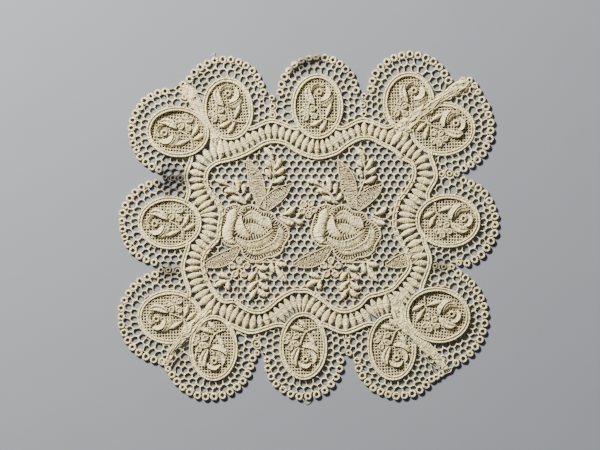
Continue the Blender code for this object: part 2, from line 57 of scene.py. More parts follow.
Scallop = namedtuple("Scallop", "x y radius first_deg last_deg picots valley")
TOP_SCALLOPS = (
    Scallop(224.2, 99.2, 43.2, 150, 10, 13, (272, 95)),
    Scallop(318.4, 95.8, 41.8, 175, 8, 15, (364, 93)),
    Scallop(410.3, 95.4, 44.0, 171, 21, 14, None),
)
RIGHT_SCALLOPS = (
    Scallop(445.6, 127.5, 48.9, 37, -66, 11, (461, 173)),
    Scallop(452.2, 222.6, 46.7, 75, -70, 14, (460, 268)),
    Scallop(434.9, 317.7, 53.6, 62, -65, 14, None),
)
BOTTOM_SCALLOPS = (
    Scallop(398.4, 354.0, 45.5, -37, -171, 13, (348, 357)),
    Scallop(304.1, 360.1, 40.2, 0, -181, 14, (257, 357)),
    Scallop(209.8, 353.8, 46.6, -6, -151, 14, None),
)
LEFT_SCALLOPS = (
    Scallop(165.1, 317.4, 47.4, -94, -257, 16, (158, 269)),
    Scallop(162.7, 222.6, 44.1, -102, -262, 15, (161, 176)),
    Scallop(172.4, 131.3, 44.1, -109, -260, 15, None),
)
LEFT_JOIN = (
    (184, 85), (196, 96), (202, 106), (209, 119), (216, 131), (224, 141), (234, 149), (240, 155),
    (237, 161), (222, 165), (211, 170), (209, 183), (217, 199), (223, 215), (222, 235), (210, 251),
    (205, 264), (208, 277), (217, 291), (228, 298), (238, 301), (237, 306), (224, 310), (211, 316),
    (200, 325), (192, 335), (185, 346), (180, 357), (170, 369),
)
RIGHT_JOIN = (
    (464, 78), (450, 87), (436, 95), (420, 106), (405, 119), (394, 131), (388, 143), (390, 154),
    (398, 160), (408, 164), (412, 173), (409, 182), (401, 193), (394, 206), (391, 220), (394, 234),
    (401, 246), (406, 257), (406, 268), (398, 279), (388, 288), (380, 296), (379, 304), (384, 312),
    (396, 325), (408, 341), (420, 353), (432, 364), (443, 375),
)
LEFT_TIPS = (((171, 89), (178, 84)), ((164, 368),))
RIGHT_TIPS = (((477, 89), (472, 80)), ((449, 376), (455, 369)))

# Ring ellipse, then the rose's eye and the outward direction of the spray
Medallion = namedtuple("Medallion", "x y half_long half_short out_deg eye_x eye_y spray_deg mirrored")
TOP_MEDALLIONS = (
    Medallion(228.0, 109, 31.5, 25.5, 97, 228.0, 93.5, 90, False),
    Medallion(317.4, 106.5, 32.6, 26.0, 90, 319.4, 92.0, 90, False),
    Medallion(409.0, 103, 31.0, 26.0, 92, 413.9, 90.6, 81, False),
)
BOTTOM_MEDALLIONS = (
    Medallion(213.5, 348, 33.0, 24.5, 270, 214.3, 360.8, 279, True),
    Medallion(303.5, 346, 34.0, 24.0, 270, 305.6, 359.0, 280, True),
    Medallion(392.0, 347, 33.5, 24.5, 274, 396.7, 357.7, 281, True),
)
LEFT_MEDALLIONS = (
    Medallion(178.0, 132, 31.5, 25.5, 175, 164.4, 132.9, 179, True),
    Medallion(170.0, 223, 32.0, 26.5, 179, 154.9, 223.8, 180, True),
    Medallion(170.0, 317, 32.5, 27.0, 182, 156.4, 319.0, 190, True),
)
RIGHT_MEDALLIONS = (
    Medallion(442.5, 129, 33.0, 27.0, 2, 456.1, 123.2, 12, True),
    Medallion(448.0, 221, 32.5, 26.8, 0, 463.5, 218.6, -1, True),
    Medallion(437.5, 315, 33.0, 28.0, -8, 451.8, 314.2, -5, True),
)

TOP_CORDS = (
    ((253, 128), (272, 121), (293, 128)),
    ((344, 128), (363, 120), (385, 127)),
)
BOTTOM_CORDS = (
    ((231, 325), (251, 332), (276, 325)),
    ((325, 325), (345, 332), (367, 324)),
)
LEFT_CORDS = (
    ((191, 160), (186, 176), (189, 190)),
    ((188, 247), (183, 268), (189, 290)),
)
RIGHT_CORDS = (
    ((431, 158), (436, 176), (428, 193)),
    ((424, 241), (430, 261), (422, 286)),
)
# The double cord round the middle, clockwise from the upper left, and where its four stretches meet
INNER_CORD = (
    (206, 179.6), (208.4, 169.4), (217, 162.6), (231, 159.2), (243, 155), (254, 149.2), (263.5, 143.4),
    (273.5, 141.2), (285, 143.2), (297, 151), (310, 156), (320, 157.4), (336, 153), (347, 145),
    (358, 139), (370, 138), (382, 144), (394, 150), (402, 158), (412, 163), (414.5, 173), (412, 182),
    (405, 193), (398, 203), (394.5, 220), (397, 234), (404, 246), (409, 258), (409, 269), (399, 282),
    (392, 289), (379, 294), (368, 297), (359, 306), (346.5, 311), (334, 308.5), (321, 299),
    (308.5, 291.5), (300, 291), (292, 291.5), (279, 299), (268, 308.5), (259.5, 312), (251, 311),
    (241, 306), (234, 301), (223, 301), (214, 291.5), (207, 280), (203, 266), (204.6, 255.6),
    (211, 246.6), (218, 238.4), (219.6, 226), (221.4, 212.6), (217, 201.4), (209.6, 191.6),
)
TOP_STRETCH = (3, 18)
RIGHT_STRETCH = (18, 30)
BOTTOM_STRETCH = (30, 45)
LEFT_STRETCH = (45, 3)
# The closed line between the scalloped border and the spindle band
BAND_LOOP = (
    (228, 109), (253, 128), (272, 121), (293, 128), (318, 107), (344, 128), (363, 120), (385, 127),
    (409, 103), (442, 129), (431, 158), (436, 176), (428, 193), (448, 221), (424, 241), (430, 261),
    (422, 286), (437, 315), (392, 347), (367, 324), (345, 332), (325, 325), (303, 346), (276, 325),
    (251, 332), (231, 325), (213, 348), (170, 317), (189, 290), (183, 268), (188, 247), (170, 223),
    (189, 190), (186, 176), (191, 160), (178, 132),
)
# Chains of little rings that run in from each notch
CHAINS = (
    ((272, 98), (272.6, 106.5), (272.8, 115)), ((364, 96), (363, 105), (364, 114)),
    ((165, 177), (173, 178), (180.5, 178)), ((161, 270), (168.5, 270), (178, 271)),
    ((257, 353), (257, 344), (257, 336)), ((349, 353), (347, 343), (348, 336)),
    ((457, 174), (449.6, 173.6), (441.6, 174)), ((459, 263), (452, 267), (444, 267), (435, 266)),
)

# A turned, whipped seam: half-widths at its points, all in pixels
Seam = namedtuple("Seam", "widths points")
LEFT_SEAMS = (
    Seam((3.6, 6.4, 6.0, 4.6, 3.4, 3.6, 4.6, 5.4, 3.2),
         ((181, 87), (188, 91), (195.5, 102), (200.6, 113), (206, 122), (211, 131), (214.4, 138),
          (217, 145), (219, 150))),
    Seam((2.4, 3.2, 3.6, 4.8, 7.2, 8.0, 7.0, 6.4, 4.0),
         ((167, 363), (170, 356), (175, 347), (182, 339), (190, 332), (196, 325), (203, 318),
          (209, 312), (214, 308))),
)
RIGHT_SEAMS = (
    Seam((5.4, 6.0, 5.4, 5.4, 6.4, 7.0, 7.0, 7.4, 5.4),
         ((470, 83), (459, 87.6), (446.6, 95.2), (438, 100.6), (427.6, 108.5), (418.5, 115.5),
          (411, 122), (403, 129), (397, 137))),
    Seam((3.4, 4.4, 4.0, 5.0, 5.6, 5.6, 5.8, 7.0, 8.4, 7.0),
         ((448, 369.4), (442.3, 363.7), (436.7, 357.4), (429.6, 350.4), (422, 343), (415, 335),
          (406.5, 326.5), (399.5, 315), (397, 306), (393, 298))),
)
# Heights of the medallions' cords, lower where a seam lies over one
BAND_RING_TOPS = (1.55,) * 6
LEFT_RING_TOPS = (1.95, 1.55, 1.2)
RIGHT_RING_TOPS = (1.2, 1.55, 1.95)
# Picots beyond the even rows, at the ends of the seams
LOOSE_LEFT_PICOTS = ((181.6, 91), (184.6, 97))
LOOSE_RIGHT_PICOTS = ((463, 80.6), (469.6, 80.4), (474.8, 85.6), (478.4, 92))
LOOSE_BAND_PICOTS = ((183.2, 84.6), (441.4, 373.6), (436.6, 377), (168.2, 369.2), (165.8, 362.8))

# A padded satin shape: its spine, its half-widths spread along it, and the height of its top in mm
Satin = namedtuple("Satin", "top widths points")
# One medallion's spray, from the rose's eye: outwards, then to the left of that, in pixels
SPRAY_LEAVES = (
    Satin(1.7, (0.5, 2.3, 2.3, 1.4, 0.4), ((-10.8, -12.0), (-18.0, -9.6), (-25.6, -6.4))),
    Satin(1.7, (0.5, 2.3, 2.5, 1.6, 0.4), ((-34.0, 9.6), (-31.5, 3.4), (-27.4, -3.4))),
    Satin(1.7, (0.5, 2.4, 2.6, 1.6, 0.4), ((-40.0, -0.2), (-35.0, -3.4), (-28.8, -7.2))),
)
# A petal's raised lip is on its spine's left, 1, or right, -1, or on both sides, 2, or it has none, 0
Petal = namedtuple("Petal", "lip top widths points")
SPRAY_ROSE = (
    Petal(1, 1.7, (0.8, 1.9, 2.1, 1.9, 0.9), ((0.4, 7.6), (5.0, 5.4), (7.2, 0.2), (4.6, -5.0))),
    Petal(2, 1.8, (1.2, 3.2, 3.6, 3.1, 1.2), ((5.2, 10.6), (-1.5, 11.4), (-7.5, 8.6), (-12.8, 4.4))),
    Petal(1, 1.7, (1.1, 2.3, 2.5, 2.1, 0.9), ((5.4, -7.4), (0.0, -9.0), (-4.8, -7.2), (-8.8, -1.0))),
    Petal(-1, 1.8, (0.8, 2.4, 2.8, 2.5, 1.0), ((-3.0, -13.6), (-8.6, -11.6), (-12.6, -5.6), (-13.0, 1.0))),
)
SPRAY_STEM = ((-14.6, 3.0), (-20.8, -0.4), (-26.1, -4.5), (-27.9, -9.4), (-28.8, -15.6))
SPRAY_PETALS = ((-14.1, 12.9), (-16.7, 6.6), (-20.8, 16.6), (-25.7, 13.4), (-24.2, 5.0))
SPRAY_FLOWER = (-20.6, 10.4)
# A ringed petal, all in mm: outer size, thickness, height and sides of its rings, how much longer than
# wide they are, and the half-widths and height of the satin that runs in to the flower's heart
RingedPetal = namedtuple("RingedPetal", "rings stretch widths top")
SPRAY_PETAL = RingedPetal(((1.42, 0.8, 1.6, 14), (0.72, 0.68, 1.25, 8)), 1.25, (0.4, 0.75, 0.8), 1.3)
FLORET_PETAL = RingedPetal(((1.6, 0.8, 1.7, 16), (0.95, 0.9, 1.35, 10)), 1.2, (0.3, 0.5, 0.5), 1.2)

# The band's middle net, first repeat
REPEAT_PX = 91.5
REPEATS = (0, 1, 2)
ROSE_OUTLINE = (
    (226.8, 207.4), (232, 205), (238.3, 205.4), (242.8, 208), (247.4, 205.8), (252.8, 205.4),
    (257.4, 207.7), (260.6, 211), (265, 212.3), (270.4, 212.7), (274.4, 215.4), (276.8, 220),
    (281.2, 222.6), (285.4, 226), (288.4, 230.6), (289.2, 235.8), (286.6, 241), (283.6, 245.6),
    (282.4, 249.8), (279.6, 253.4), (275, 256.2), (268.9, 257.2), (265, 258), (262, 260.2),
    (256.6, 261.3), (251.3, 260.5), (246.7, 257.8), (243.4, 254), (241.6, 249.2), (238.3, 245.6),
    (232.2, 246.2), (226.8, 245), (223, 241.2), (220.8, 236.4), (220, 231), (221.4, 224),
    (223.6, 216.4), (225, 211.4),
)
ROSE_SATIN = (
    Petal(1, 1.5, (1.4, 3.8, 4.8, 5.0, 3.9, 1.4),
          ((245.1, 224.5), (248.2, 226.5), (252.8, 228.1), (257.9, 230.1), (262.4, 231.9), (266, 232.7))),
    Petal(1, 2.1, (2.6, 4.3, 5.2, 4.3, 4.2, 6.0, 5.0, 1.8),
          ((243.3, 217.3), (247.7, 216.6), (252.5, 215.3), (257.6, 217.6), (261.2, 220.7), (266, 222.4),
           (269.3, 226), (271.9, 228.6))),
    Petal(1, 2.25, (0.9, 2.6, 4.2, 5.0, 4.6, 3.1, 1.2),
          ((241.1, 215.3), (240, 220.4), (239.5, 225), (240.8, 229.6), (244.1, 233.2), (248.2, 236),
           (251.5, 236.8))),
    Petal(1, 2.15, (1.5, 2.6, 3.1, 3.7, 4.0, 4.1, 3.9, 3.6, 2.6, 1.2),
          ((235.2, 236.7), (239, 240.3), (243.6, 243.1), (248.4, 244.4), (253.8, 244.1), (259.4, 242.9),
           (264.5, 240.3), (269.1, 236.7), (272.4, 232.7), (274.4, 229.1))),
    Petal(1, 2.2, (0.9, 2.7, 3.5, 3.8, 3.6, 4.4, 5.2, 4.8, 4.9, 4.3, 3.2, 1.6),
          ((244.3, 248.7), (249.2, 251), (254.3, 252.3), (259.4, 252.1), (264.7, 250.5), (269.8, 248.2),
           (275.7, 245.4), (278.5, 241.3), (280.3, 236.2), (280.3, 231.1), (279.5, 227), (278.5, 225))),
    Petal(0, 2.0, (2.6, 6.0, 5.2, 4.5, 5.6, 6.0, 5.2, 3.6, 1.4),
          ((234.9, 208.4), (233.9, 211.7), (232.1, 216.8), (230.6, 222.4), (228.8, 228.1),
           (227.8, 233.2), (228.8, 238.3), (231.8, 242.1), (235.9, 243.4))),
)
# Rows of open bars between the petals
ROSE_LADDERS = (
    ((243, 208.6), (242.4, 212.6), (238, 217.3), (235.7, 223.2), (235.3, 229.6), (238.2, 233.9),
     (246.1, 237.8), (252.8, 237.8), (259.9, 235.7), (264, 235), (268.1, 232.1)),
    ((242.6, 224), (244.6, 229.6), (250.4, 234.4)),
    ((237.6, 208), (239.6, 212.6), (238.4, 217)),
    ((233.6, 240.4), (236.6, 240.8), (239.4, 244.6)),
    ((243.3, 220.4), (248.6, 220.4), (254.3, 220.9), (260.4, 223.5), (263.5, 226.5), (268.1, 232.7)),
    ((238.5, 241.3), (245.6, 246.9), (254.8, 248.2), (261.9, 246.7), (268.8, 243.6), (272.9, 238),
     (274.4, 232), (274.2, 225)),
)
OPEN_LEAVES = (
    Satin(1.3, (0.6, 3.4, 6.2, 7.4, 7.4, 6.0, 4.6, 3.6),
          ((246.4, 160), (250.5, 167), (254.6, 176), (257.4, 186), (260, 197), (262.2, 209))),
    Satin(1.3, (0.6, 4.2, 6.0, 6.8, 6.8, 6.2, 4.6),
          ((290.6, 184.8), (284.6, 190), (277.6, 195.4), (270.6, 201), (263, 208.6))),
)
OPEN_LEAF_LEAN = (0.34, 0.0)
VEINED_LEAF = Satin(1.3, (0.6, 5.0, 6.6, 6.8, 5.2, 2.0),
                    ((202.4, 264.6), (213, 262.6), (227, 257.4), (239, 247.2)))
# Where the veined leaf's slit runs, in half-widths
LEAF_SLIT = (-0.32, -0.1)
# Every leaflet has the same widths, and its own tip and base
LEAFLET = Satin(1.75, (1.2, 2.5, 2.9, 2.5, 1.6, 0.8), None)
LEAFLETS = (
    ((264.1, 148.5), (273.5, 160.1)), ((265, 161.4), (271.4, 167.4)), ((265.4, 169.5), (270.8, 178.4)),
    ((281, 158.3), (273.9, 169.5)), ((284.6, 168.2), (274.8, 174)), ((285, 176.6), (272.1, 182.9)),
    ((215.4, 180.2), (228.4, 185.5)), ((236, 177), (238.2, 191.7)), ((243.6, 183.8), (243.4, 193.6)),
    ((249.8, 193.6), (245.4, 200.2)), ((224.4, 190.9), (235.6, 192.7)), ((230.2, 197.1), (244.4, 203.8)),
    ((295, 207.6), (283.7, 214.6)), ((294.4, 224.2), (280, 217.8)), ((303.6, 223.4), (293.4, 218.4)),
    ((217.8, 274.2), (229, 278.4)), ((214.6, 286.6), (228.2, 281)), ((228.6, 290), (229.2, 279.6)),
    ((249, 280.9), (256.6, 271.8)), ((248.6, 291), (258, 281)), ((250.4, 299.2), (258, 288.6)),
    ((268.4, 279.2), (258.9, 272.6)), ((268.4, 289.2), (259, 281.4)), ((265.9, 296.8), (258.6, 288.6)),
    ((267, 269.6), (255.8, 264.8)), ((286.8, 265.2), (274.6, 261.8)), ((274, 273), (272, 262)),
    ((286.6, 282), (275.6, 263.4)),
)
STEMS = (
    ((269, 152), (273.4, 168), (273, 180), (266, 197)), ((283.6, 160), (276.6, 168), (273.4, 178)),
    ((222, 181.4), (230, 186), (238, 193), (246.4, 204)), ((280, 215.6), (293, 219.4), (301, 213)),
    ((256.6, 268), (257.4, 280), (258.2, 294)), ((224, 277), (230.6, 280), (233, 272)),
    ((250, 262), (262, 262.4), (276, 262)),
)
# Little flowers with ringed petals: middle, distance of the petals, first petal's direction
Floret = namedtuple("Floret", "x y reach first_deg petals")
FLORETS = (
    Floret(308, 208.6, 6.2, 60, 5),
    Floret(239.6, 268, 7.4, 90, 5),
)

# Sizes of the parts
PICOT_INSET_PX = 3.5
NET_INSET_PX = 5.7
CREASED_DEG = (140, 128, 116, 104, 93)
CELL_PX = 6.6
CELL_ROW_PX = 5.8
CENTRE_CELL_PX = 7.5
CENTRE_ROW_PX = 6.62
CENTRE_ROW_PHASE = (289.4, 170.6)
VALLEY_REACH_PX = 8.0
NET_TOP_MM = 0.95
BORDER_BAR_MM = 0.33
CENTRE_BAR_MM = 0.33
CORD_HALF_MM = 1.05
GAP_MM = 0.3
RAW_EDGE_MM = 1.7
NET_UNDER_CORD_MM = 0.45
CORD_REACH_PX = 5.0
FULL_SEAM_MM = 2.4
SEAM_CREST_MM = 1.15
SEAM_COLUMNS = 9
MESH_INSET_MM = 1.3
RELAX_ROUNDS = 14
SPINDLE_WIDTHS = (0.12, 0.48, 0.90, 1.12, 0.96, 0.56, 0.14)
MESH_PITCH_PX = 2.9
SPINDLE_PITCH_PX = 6.5
LADDER_PITCH_MM = 1.25
LEAF_PITCH_MM = 0.82


def plan(points):
    """Picture pixels to millimetres in the row frame."""
    pixels = np.array(points, dtype=float).reshape(-1, 2)
    away = np.column_stack((pixels[:, 0] - CENTRE_X_PX, CENTRE_Y_PX - pixels[:, 1]))
    return away * MM_PER_PX


def middle_of(one):
    return plan((one.x, one.y))[0]


def unit(degrees):
    return np.array((math.cos(math.radians(degrees)), math.sin(math.radians(degrees))))


def turned(direction):
    """A direction turned a quarter to the left."""
    return np.array((-direction[1], direction[0]))


def smooth_line(points, steps=8, closed=False):
    """A Catmull-Rom curve through the points."""
    if closed:
        padded_line = np.vstack((points[-1], points, points[0], points[1]))
    else:
        padded_line = np.vstack((2 * points[0] - points[1], points, 2 * points[-1] - points[-2]))
    t = (np.arange(steps) / steps)[:, None]
    curve = []
    for before, start, end, after in zip(padded_line, padded_line[1:], padded_line[2:], padded_line[3:]):
        bend = (2 * before - 5 * start + 4 * end - after) * t * t
        twist = (3 * start - before - 3 * end + after) * t ** 3
        curve.append(0.5 * (2 * start + (end - before) * t + bend + twist))
    if not closed:
        curve.append(points[-1:])
    return np.vstack(curve)


def running_length(line):
    steps = np.linalg.norm(np.diff(line, axis=0), axis=1)
    return np.concatenate(((0.0,), np.cumsum(steps)))


def spaced(line, spacing, closed=False):
    """Points along a line at even steps of about the given length."""
    if closed:
        line = np.vstack((line, line[:1]))
    along = running_length(line)
    count = max(2, round(along[-1] / spacing))
    marks = np.linspace(0.0, along[-1], count + 1)
    points = np.column_stack((np.interp(marks, along, line[:, 0]), np.interp(marks, along, line[:, 1])))
    return points[:-1] if closed else points


def left_normals(line, closed=False):
    if closed:
        run = np.roll(line, -1, axis=0) - np.roll(line, 1, axis=0)
    else:
        run = np.gradient(line, axis=0)
    run = run / np.maximum(np.linalg.norm(run, axis=1), 1e-9)[:, None]
    return np.column_stack((-run[:, 1], run[:, 0]))


def inside(points, loop):
    """Even-odd test of points against a closed loop."""
    end = np.roll(loop, -1, axis=0)
    spans = (loop[None, :, 1] > points[:, None, 1]) != (end[None, :, 1] > points[:, None, 1])
    rise = np.where(loop[:, 1] == end[:, 1], 1.0, end[:, 1] - loop[:, 1])
    reach = loop[:, 0] + (points[:, None, 1] - loop[:, 1]) / rise * (end[:, 0] - loop[:, 0])
    return (spans & (points[:, None, 0] < reach)).sum(axis=1) % 2 == 1


def segments(lines, closed):
    """Starts and ends of all the straight steps of some lines."""
    starts = np.vstack([line if closed else line[:-1] for line in lines])
    ends = np.vstack([np.roll(line, -1, axis=0) if closed else line[1:] for line in lines])
    return starts, ends


def nearest_on(points, steps):
    """The nearest spot on any straight step to each point, and how far it is."""
    starts, ends = steps
    run = ends - starts
    offset = points[:, None, :] - starts[None, :, :]
    share = np.clip((offset * run).sum(axis=2) / np.maximum((run * run).sum(axis=1), 1e-9), 0.0, 1.0)
    away = offset - share[:, :, None] * run
    distance = np.linalg.norm(away, axis=2)
    best = distance.argmin(axis=1)
    rows = np.arange(len(points))
    return points - away[rows, best], distance[rows, best]


def blurred(values, reach, mode="edge"):
    """The running mean of a row of values."""
    kernel = np.ones(2 * reach + 1) / (2 * reach + 1)
    return np.convolve(np.pad(values, reach, mode=mode), kernel, mode="valid")


def spread_widths(widths, count):
    """Half-widths in pixels, spread evenly over so many points of a line, in mm."""
    return np.interp(np.linspace(0.0, 1.0, count), np.linspace(0.0, 1.0, len(widths)), widths) * MM_PER_PX


class Shape:
    """One piece while it is being made: points in mm, faces, and a stitch coordinate for each point."""

    def __init__(self):
        self.points = []
        self.faces = []
        self.stitch = []
        self.total = 0

    def add(self, points, faces, stitch):
        first = self.total
        self.points.append(points)
        self.stitch.append(stitch)
        self.faces.extend([tuple(corner + first for corner in face) for face in faces])
        self.total += len(points)


def grid_faces(rows, columns, wrap_rows):
    """Quads of a grid of points whose columns run round, and the end faces of one whose rows don't."""
    row = np.arange(rows if wrap_rows else rows - 1)
    row, column = np.meshgrid(row, np.arange(columns), indexing="ij")
    next_row = (row + 1) % rows
    next_column = (column + 1) % columns
    quads = np.stack((row * columns + column, row * columns + next_column,
                      next_row * columns + next_column, next_row * columns + column), axis=-1)
    faces = quads.reshape(-1, 4).tolist()
    if not wrap_rows:
        last = (rows - 1) * columns
        faces += [list(range(columns))[::-1], list(range(last, last + columns))]
    return faces


def sweep(shape, line, profile, wide=1.0, high=1.0, base=0.0, closed=False):
    """Carries a closed cross-section of rows (across, up) along a line."""
    count = len(line)
    wide, high, base = [np.broadcast_to(value, count)[:, None] for value in (wide, high, base)]
    across = profile[None, :, 0] * wide
    up = base + profile[None, :, 1] * high
    flat = line[:, None, :] + left_normals(line, closed)[:, None, :] * across[:, :, None]
    points = np.dstack((flat, up)).reshape(-1, 3)
    along = np.broadcast_to(running_length(line)[:, None], across.shape)
    shape.add(points, grid_faces(count, len(profile), closed), np.dstack((along, across)).reshape(-1, 2))


def oval(half_wide, half_high, sides):
    """Cross-section of a flattened thread that stands on height 0."""
    turns = np.arange(sides) / sides * 2 * math.pi
    return np.column_stack((half_wide * np.cos(turns), half_high + half_high * np.sin(turns)))


def crown_profile(points=11, rim=0.34, power=3.0):
    """Cross-section of padded satin, 1 high and 1 to each side."""
    across = np.sin(np.linspace(-0.5, 0.5, points) * math.pi)
    up = rim + (1 - rim) * (1 - np.abs(across) ** power) ** 0.75
    rows = list(zip(across, up)) + [(0.88, 0.0), (-0.88, 0.0)]
    return np.array(rows)


SATIN_PROFILE = crown_profile()
PETAL_PROFILE = np.array((
    (-0.88, 0.0), (-1.0, 0.16), (-0.96, 0.38), (-0.78, 0.54), (-0.44, 0.66), (-0.06, 0.73),
    (0.34, 0.77), (0.62, 0.85),
    (0.80, 1.0), (0.93, 0.96), (1.0, 0.4), (0.90, 0.0),
))
DOUBLE_CORD = np.array((
    (-0.90, 0.0), (-1.05, 0.35), (-1.02, 0.75), (-0.80, 1.0), (-0.52, 0.98), (-0.24, 0.80), (-0.06, 0.60),
    (0.06, 0.60), (0.24, 0.80), (0.52, 0.98), (0.80, 1.0), (1.02, 0.75), (1.05, 0.35), (0.90, 0.0),
))
THREAD = oval(1.0, 0.5, 6)
FINE_THREAD = oval(1.0, 0.5, 5)


def petal_profile(lip, turn=1):
    if lip == 0:
        return SATIN_PROFILE
    if lip == 2:
        return DOUBLE_CORD
    return PETAL_PROFILE * (lip * turn, 1)


def wobble(count, amount, rng, blur=3):
    """Smooth random change along a line."""
    values = rng.normal(size=count + 2 * blur)
    kernel = np.ones(2 * blur + 1) / (2 * blur + 1)
    return amount * np.convolve(values, kernel, mode="valid") * math.sqrt(2 * blur + 1)


def double_cord(shape, line, rng, closed=False, top=1.55):
    line = spaced(line, 0.8, closed)
    count = len(line)
    wide = 1.0 + wobble(count, 0.05, rng)
    high = top * (1.0 + wobble(count, 0.05, rng))
    if closed:
        fade = np.minimum(np.arange(count), np.arange(count)[::-1]) / 6.0
        fade = np.clip(fade, 0.0, 1.0)
        wide = 1.0 + (wide - 1.0) * fade
        high = top + (high - top) * fade
    sweep(shape, line, DOUBLE_CORD, wide, high, 0.0, closed)


def satin(shape, points, widths, top, rng, step=0.5, base=0.08, profile=SATIN_PROFILE):
    """A padded satin shape along a spine, its stitches running across."""
    line = spaced(smooth_line(points), step)
    count = len(line)
    share = np.linspace(0.0, 1.0, count)
    half = blurred(np.interp(share, np.linspace(0.0, 1.0, len(widths)), widths), 2)
    round_end = np.clip(np.sqrt(1 - np.abs(2 * share - 1) ** 5), 0.12, 1.0)
    uneven_edge = 1 + wobble(count, 0.02, rng, 1) + rng.normal(size=count) * 0.03
    half = np.maximum(half * round_end, 0.1) * uneven_edge
    uneven_top = 1 + wobble(count, 0.03, rng) + rng.normal(size=count) * 0.05
    high = top * (0.5 + 0.5 * (half / half.max()) ** 0.5) * uneven_top
    sweep(shape, line, profile, half, high, base)


def padded(shape, part, points, rng, step=0.45, base=0.08, profile=SATIN_PROFILE):
    """A satin shape from a row of a table, along the given points."""
    satin(shape, points, np.array(part.widths) * MM_PER_PX, part.top, rng, step, base, profile)


def ring(shape, centre, outer, thick, top, rng, sides=16, stretch=1.0, direction=0.0):
    """A small buttonholed ring; it may be longer along one direction."""
    turns = np.arange(sides) / sides * 2 * math.pi
    along = unit(direction)
    radius = (outer - thick / 2) * (1 + rng.normal(size=sides) * 0.02)
    line = (centre + np.outer(radius * np.cos(turns) * stretch, along)
            + np.outer(radius * np.sin(turns), turned(along)))
    sweep(shape, line, oval(thick / 2, 0.5, 8), 1.0, top, 0.03, closed=True)


def net(shape, seeds, ghosts, bar, rng):
    """A net with one rounded hole at each seed; the ghosts only bound it."""
    everything = np.vstack((seeds, ghosts))
    found = delaunay_2d_cdt([Vector(point) for point in everything], [], [], 0, 0.0001)
    places = np.array([tuple(vertex) for vertex in found[0]])
    middles = places[np.array(found[2])].mean(axis=1)
    owners = {vertex: [] for vertex, sources in enumerate(found[3]) if min(sources) < len(seeds)}
    for index, triangle in enumerate(found[2]):
        for vertex in triangle:
            if vertex in owners:
                owners[vertex].append(index)
    knot_height = NET_TOP_MM * (1.0 + rng.normal(size=len(middles)) * 0.05)
    points = []
    shared = {}
    faces = []
    edges = set()

    def shared_pair(one, two):
        """Two points, one above the other, at a knot or halfway between two; it gives the upper one."""
        key = (min(one, two), max(one, two))
        if key not in shared:
            place = 0.5 * (middles[one] + middles[two])
            shared[key] = len(points)
            sag = 0.5 if one == two else 0.46
            points.append((*place, sag * (knot_height[one] + knot_height[two])))
            points.append((*place, 0.0))
        return shared[key]

    for vertex, around in owners.items():
        if len(around) < 3:
            continue
        offset = middles[around] - places[vertex]
        order = [around[index] for index in np.argsort(np.arctan2(offset[:, 1], offset[:, 0]))]
        rim = []
        for one, two in zip(order, order[1:] + order[:1]):
            rim += [shared_pair(one, one), shared_pair(one, two)]
        spots = np.array([points[corner][:2] for corner in rim])
        centre = spots[::2].mean(axis=0)
        away = spots - centre
        distance = np.linalg.norm(away, axis=1)
        hole = np.maximum(distance - bar * np.tile((1.42, 1.0), len(order)), 0.25 * distance)
        hole = 0.55 * hole + 0.45 * hole.mean()
        hole = np.minimum(hole, distance - 0.55 * bar)
        hole *= 1.0 + rng.normal() * 0.04
        count = len(rim)
        following = np.roll(np.arange(count), -1)
        upper = np.array(rim)
        levels = [upper]
        for share, drop in ((0.72, 0.12), (1.0, 0.5), (0.72, 0.88)):
            reach = distance + (hole - distance) * share
            levels.append(len(points) + np.arange(count))
            for spot, corner in zip(centre + away / distance[:, None] * reach[:, None], rim):
                points.append((*spot, points[corner][2] * (1 - drop)))
        levels.append(upper + 1)
        quads = [(low, low[following], high[following], high) for low, high in zip(levels, levels[1:])]
        faces += np.array(quads).transpose(2, 0, 1).reshape(-1, 4).tolist()
        edges.update(zip(rim, rim[1:] + rim[:1]))
    for one, two in edges:
        if (two, one) not in edges:
            faces.append((one, two, two + 1, one + 1))
    shape.add(np.array(points), faces, np.zeros((len(points), 2)))


def line_round(medallion, offset, count=90):
    """Points round a medallion, some mm outside its edge."""
    along = unit(medallion.out_deg)
    turns = np.linspace(0.0, 2 * math.pi, count, endpoint=False)
    return (middle_of(medallion)
            + np.outer((medallion.half_long * MM_PER_PX + offset) * np.cos(turns), along)
            + np.outer((medallion.half_short * MM_PER_PX + offset) * np.sin(turns), turned(along)))


def into_rings(route, rings):
    """Lengthens a cord at both ends so that it runs into the medallions' rings."""
    line = plan(route)
    tips = line[[0, -1]]
    run = tips - line[[1, -2]]
    run = run / np.linalg.norm(run, axis=1)[:, None]
    grown, _ = nearest_on(tips + run * CORD_REACH_PX * MM_PER_PX, segments(rings, True))
    return smooth_line(np.vstack((grown[:1], line, grown[1:])))


def ring_line(medallion):
    return line_round(medallion, -CORD_HALF_MM)


def on_cloth(points, outline):
    """Which points lie on a piece of cloth or just past its edge; with no outline, all of them."""
    if outline is None:
        return np.ones(len(points), dtype=bool)
    _, away = nearest_on(points, segments([outline], True))
    return inside(points, outline) | (away < RAW_EDGE_MM)


def medallion_ring(shape, medallion, outline, rng, top):
    """A medallion's double cord, cut off where a seam has turned the cloth under."""
    line = ring_line(medallion)
    kept = on_cloth(line, outline)
    if not kept.all():
        start = int(np.argmin(kept))
        line = np.roll(line, -start, axis=0)[np.roll(kept, -start)]
    double_cord(shape, line, rng, bool(kept.all()), top)


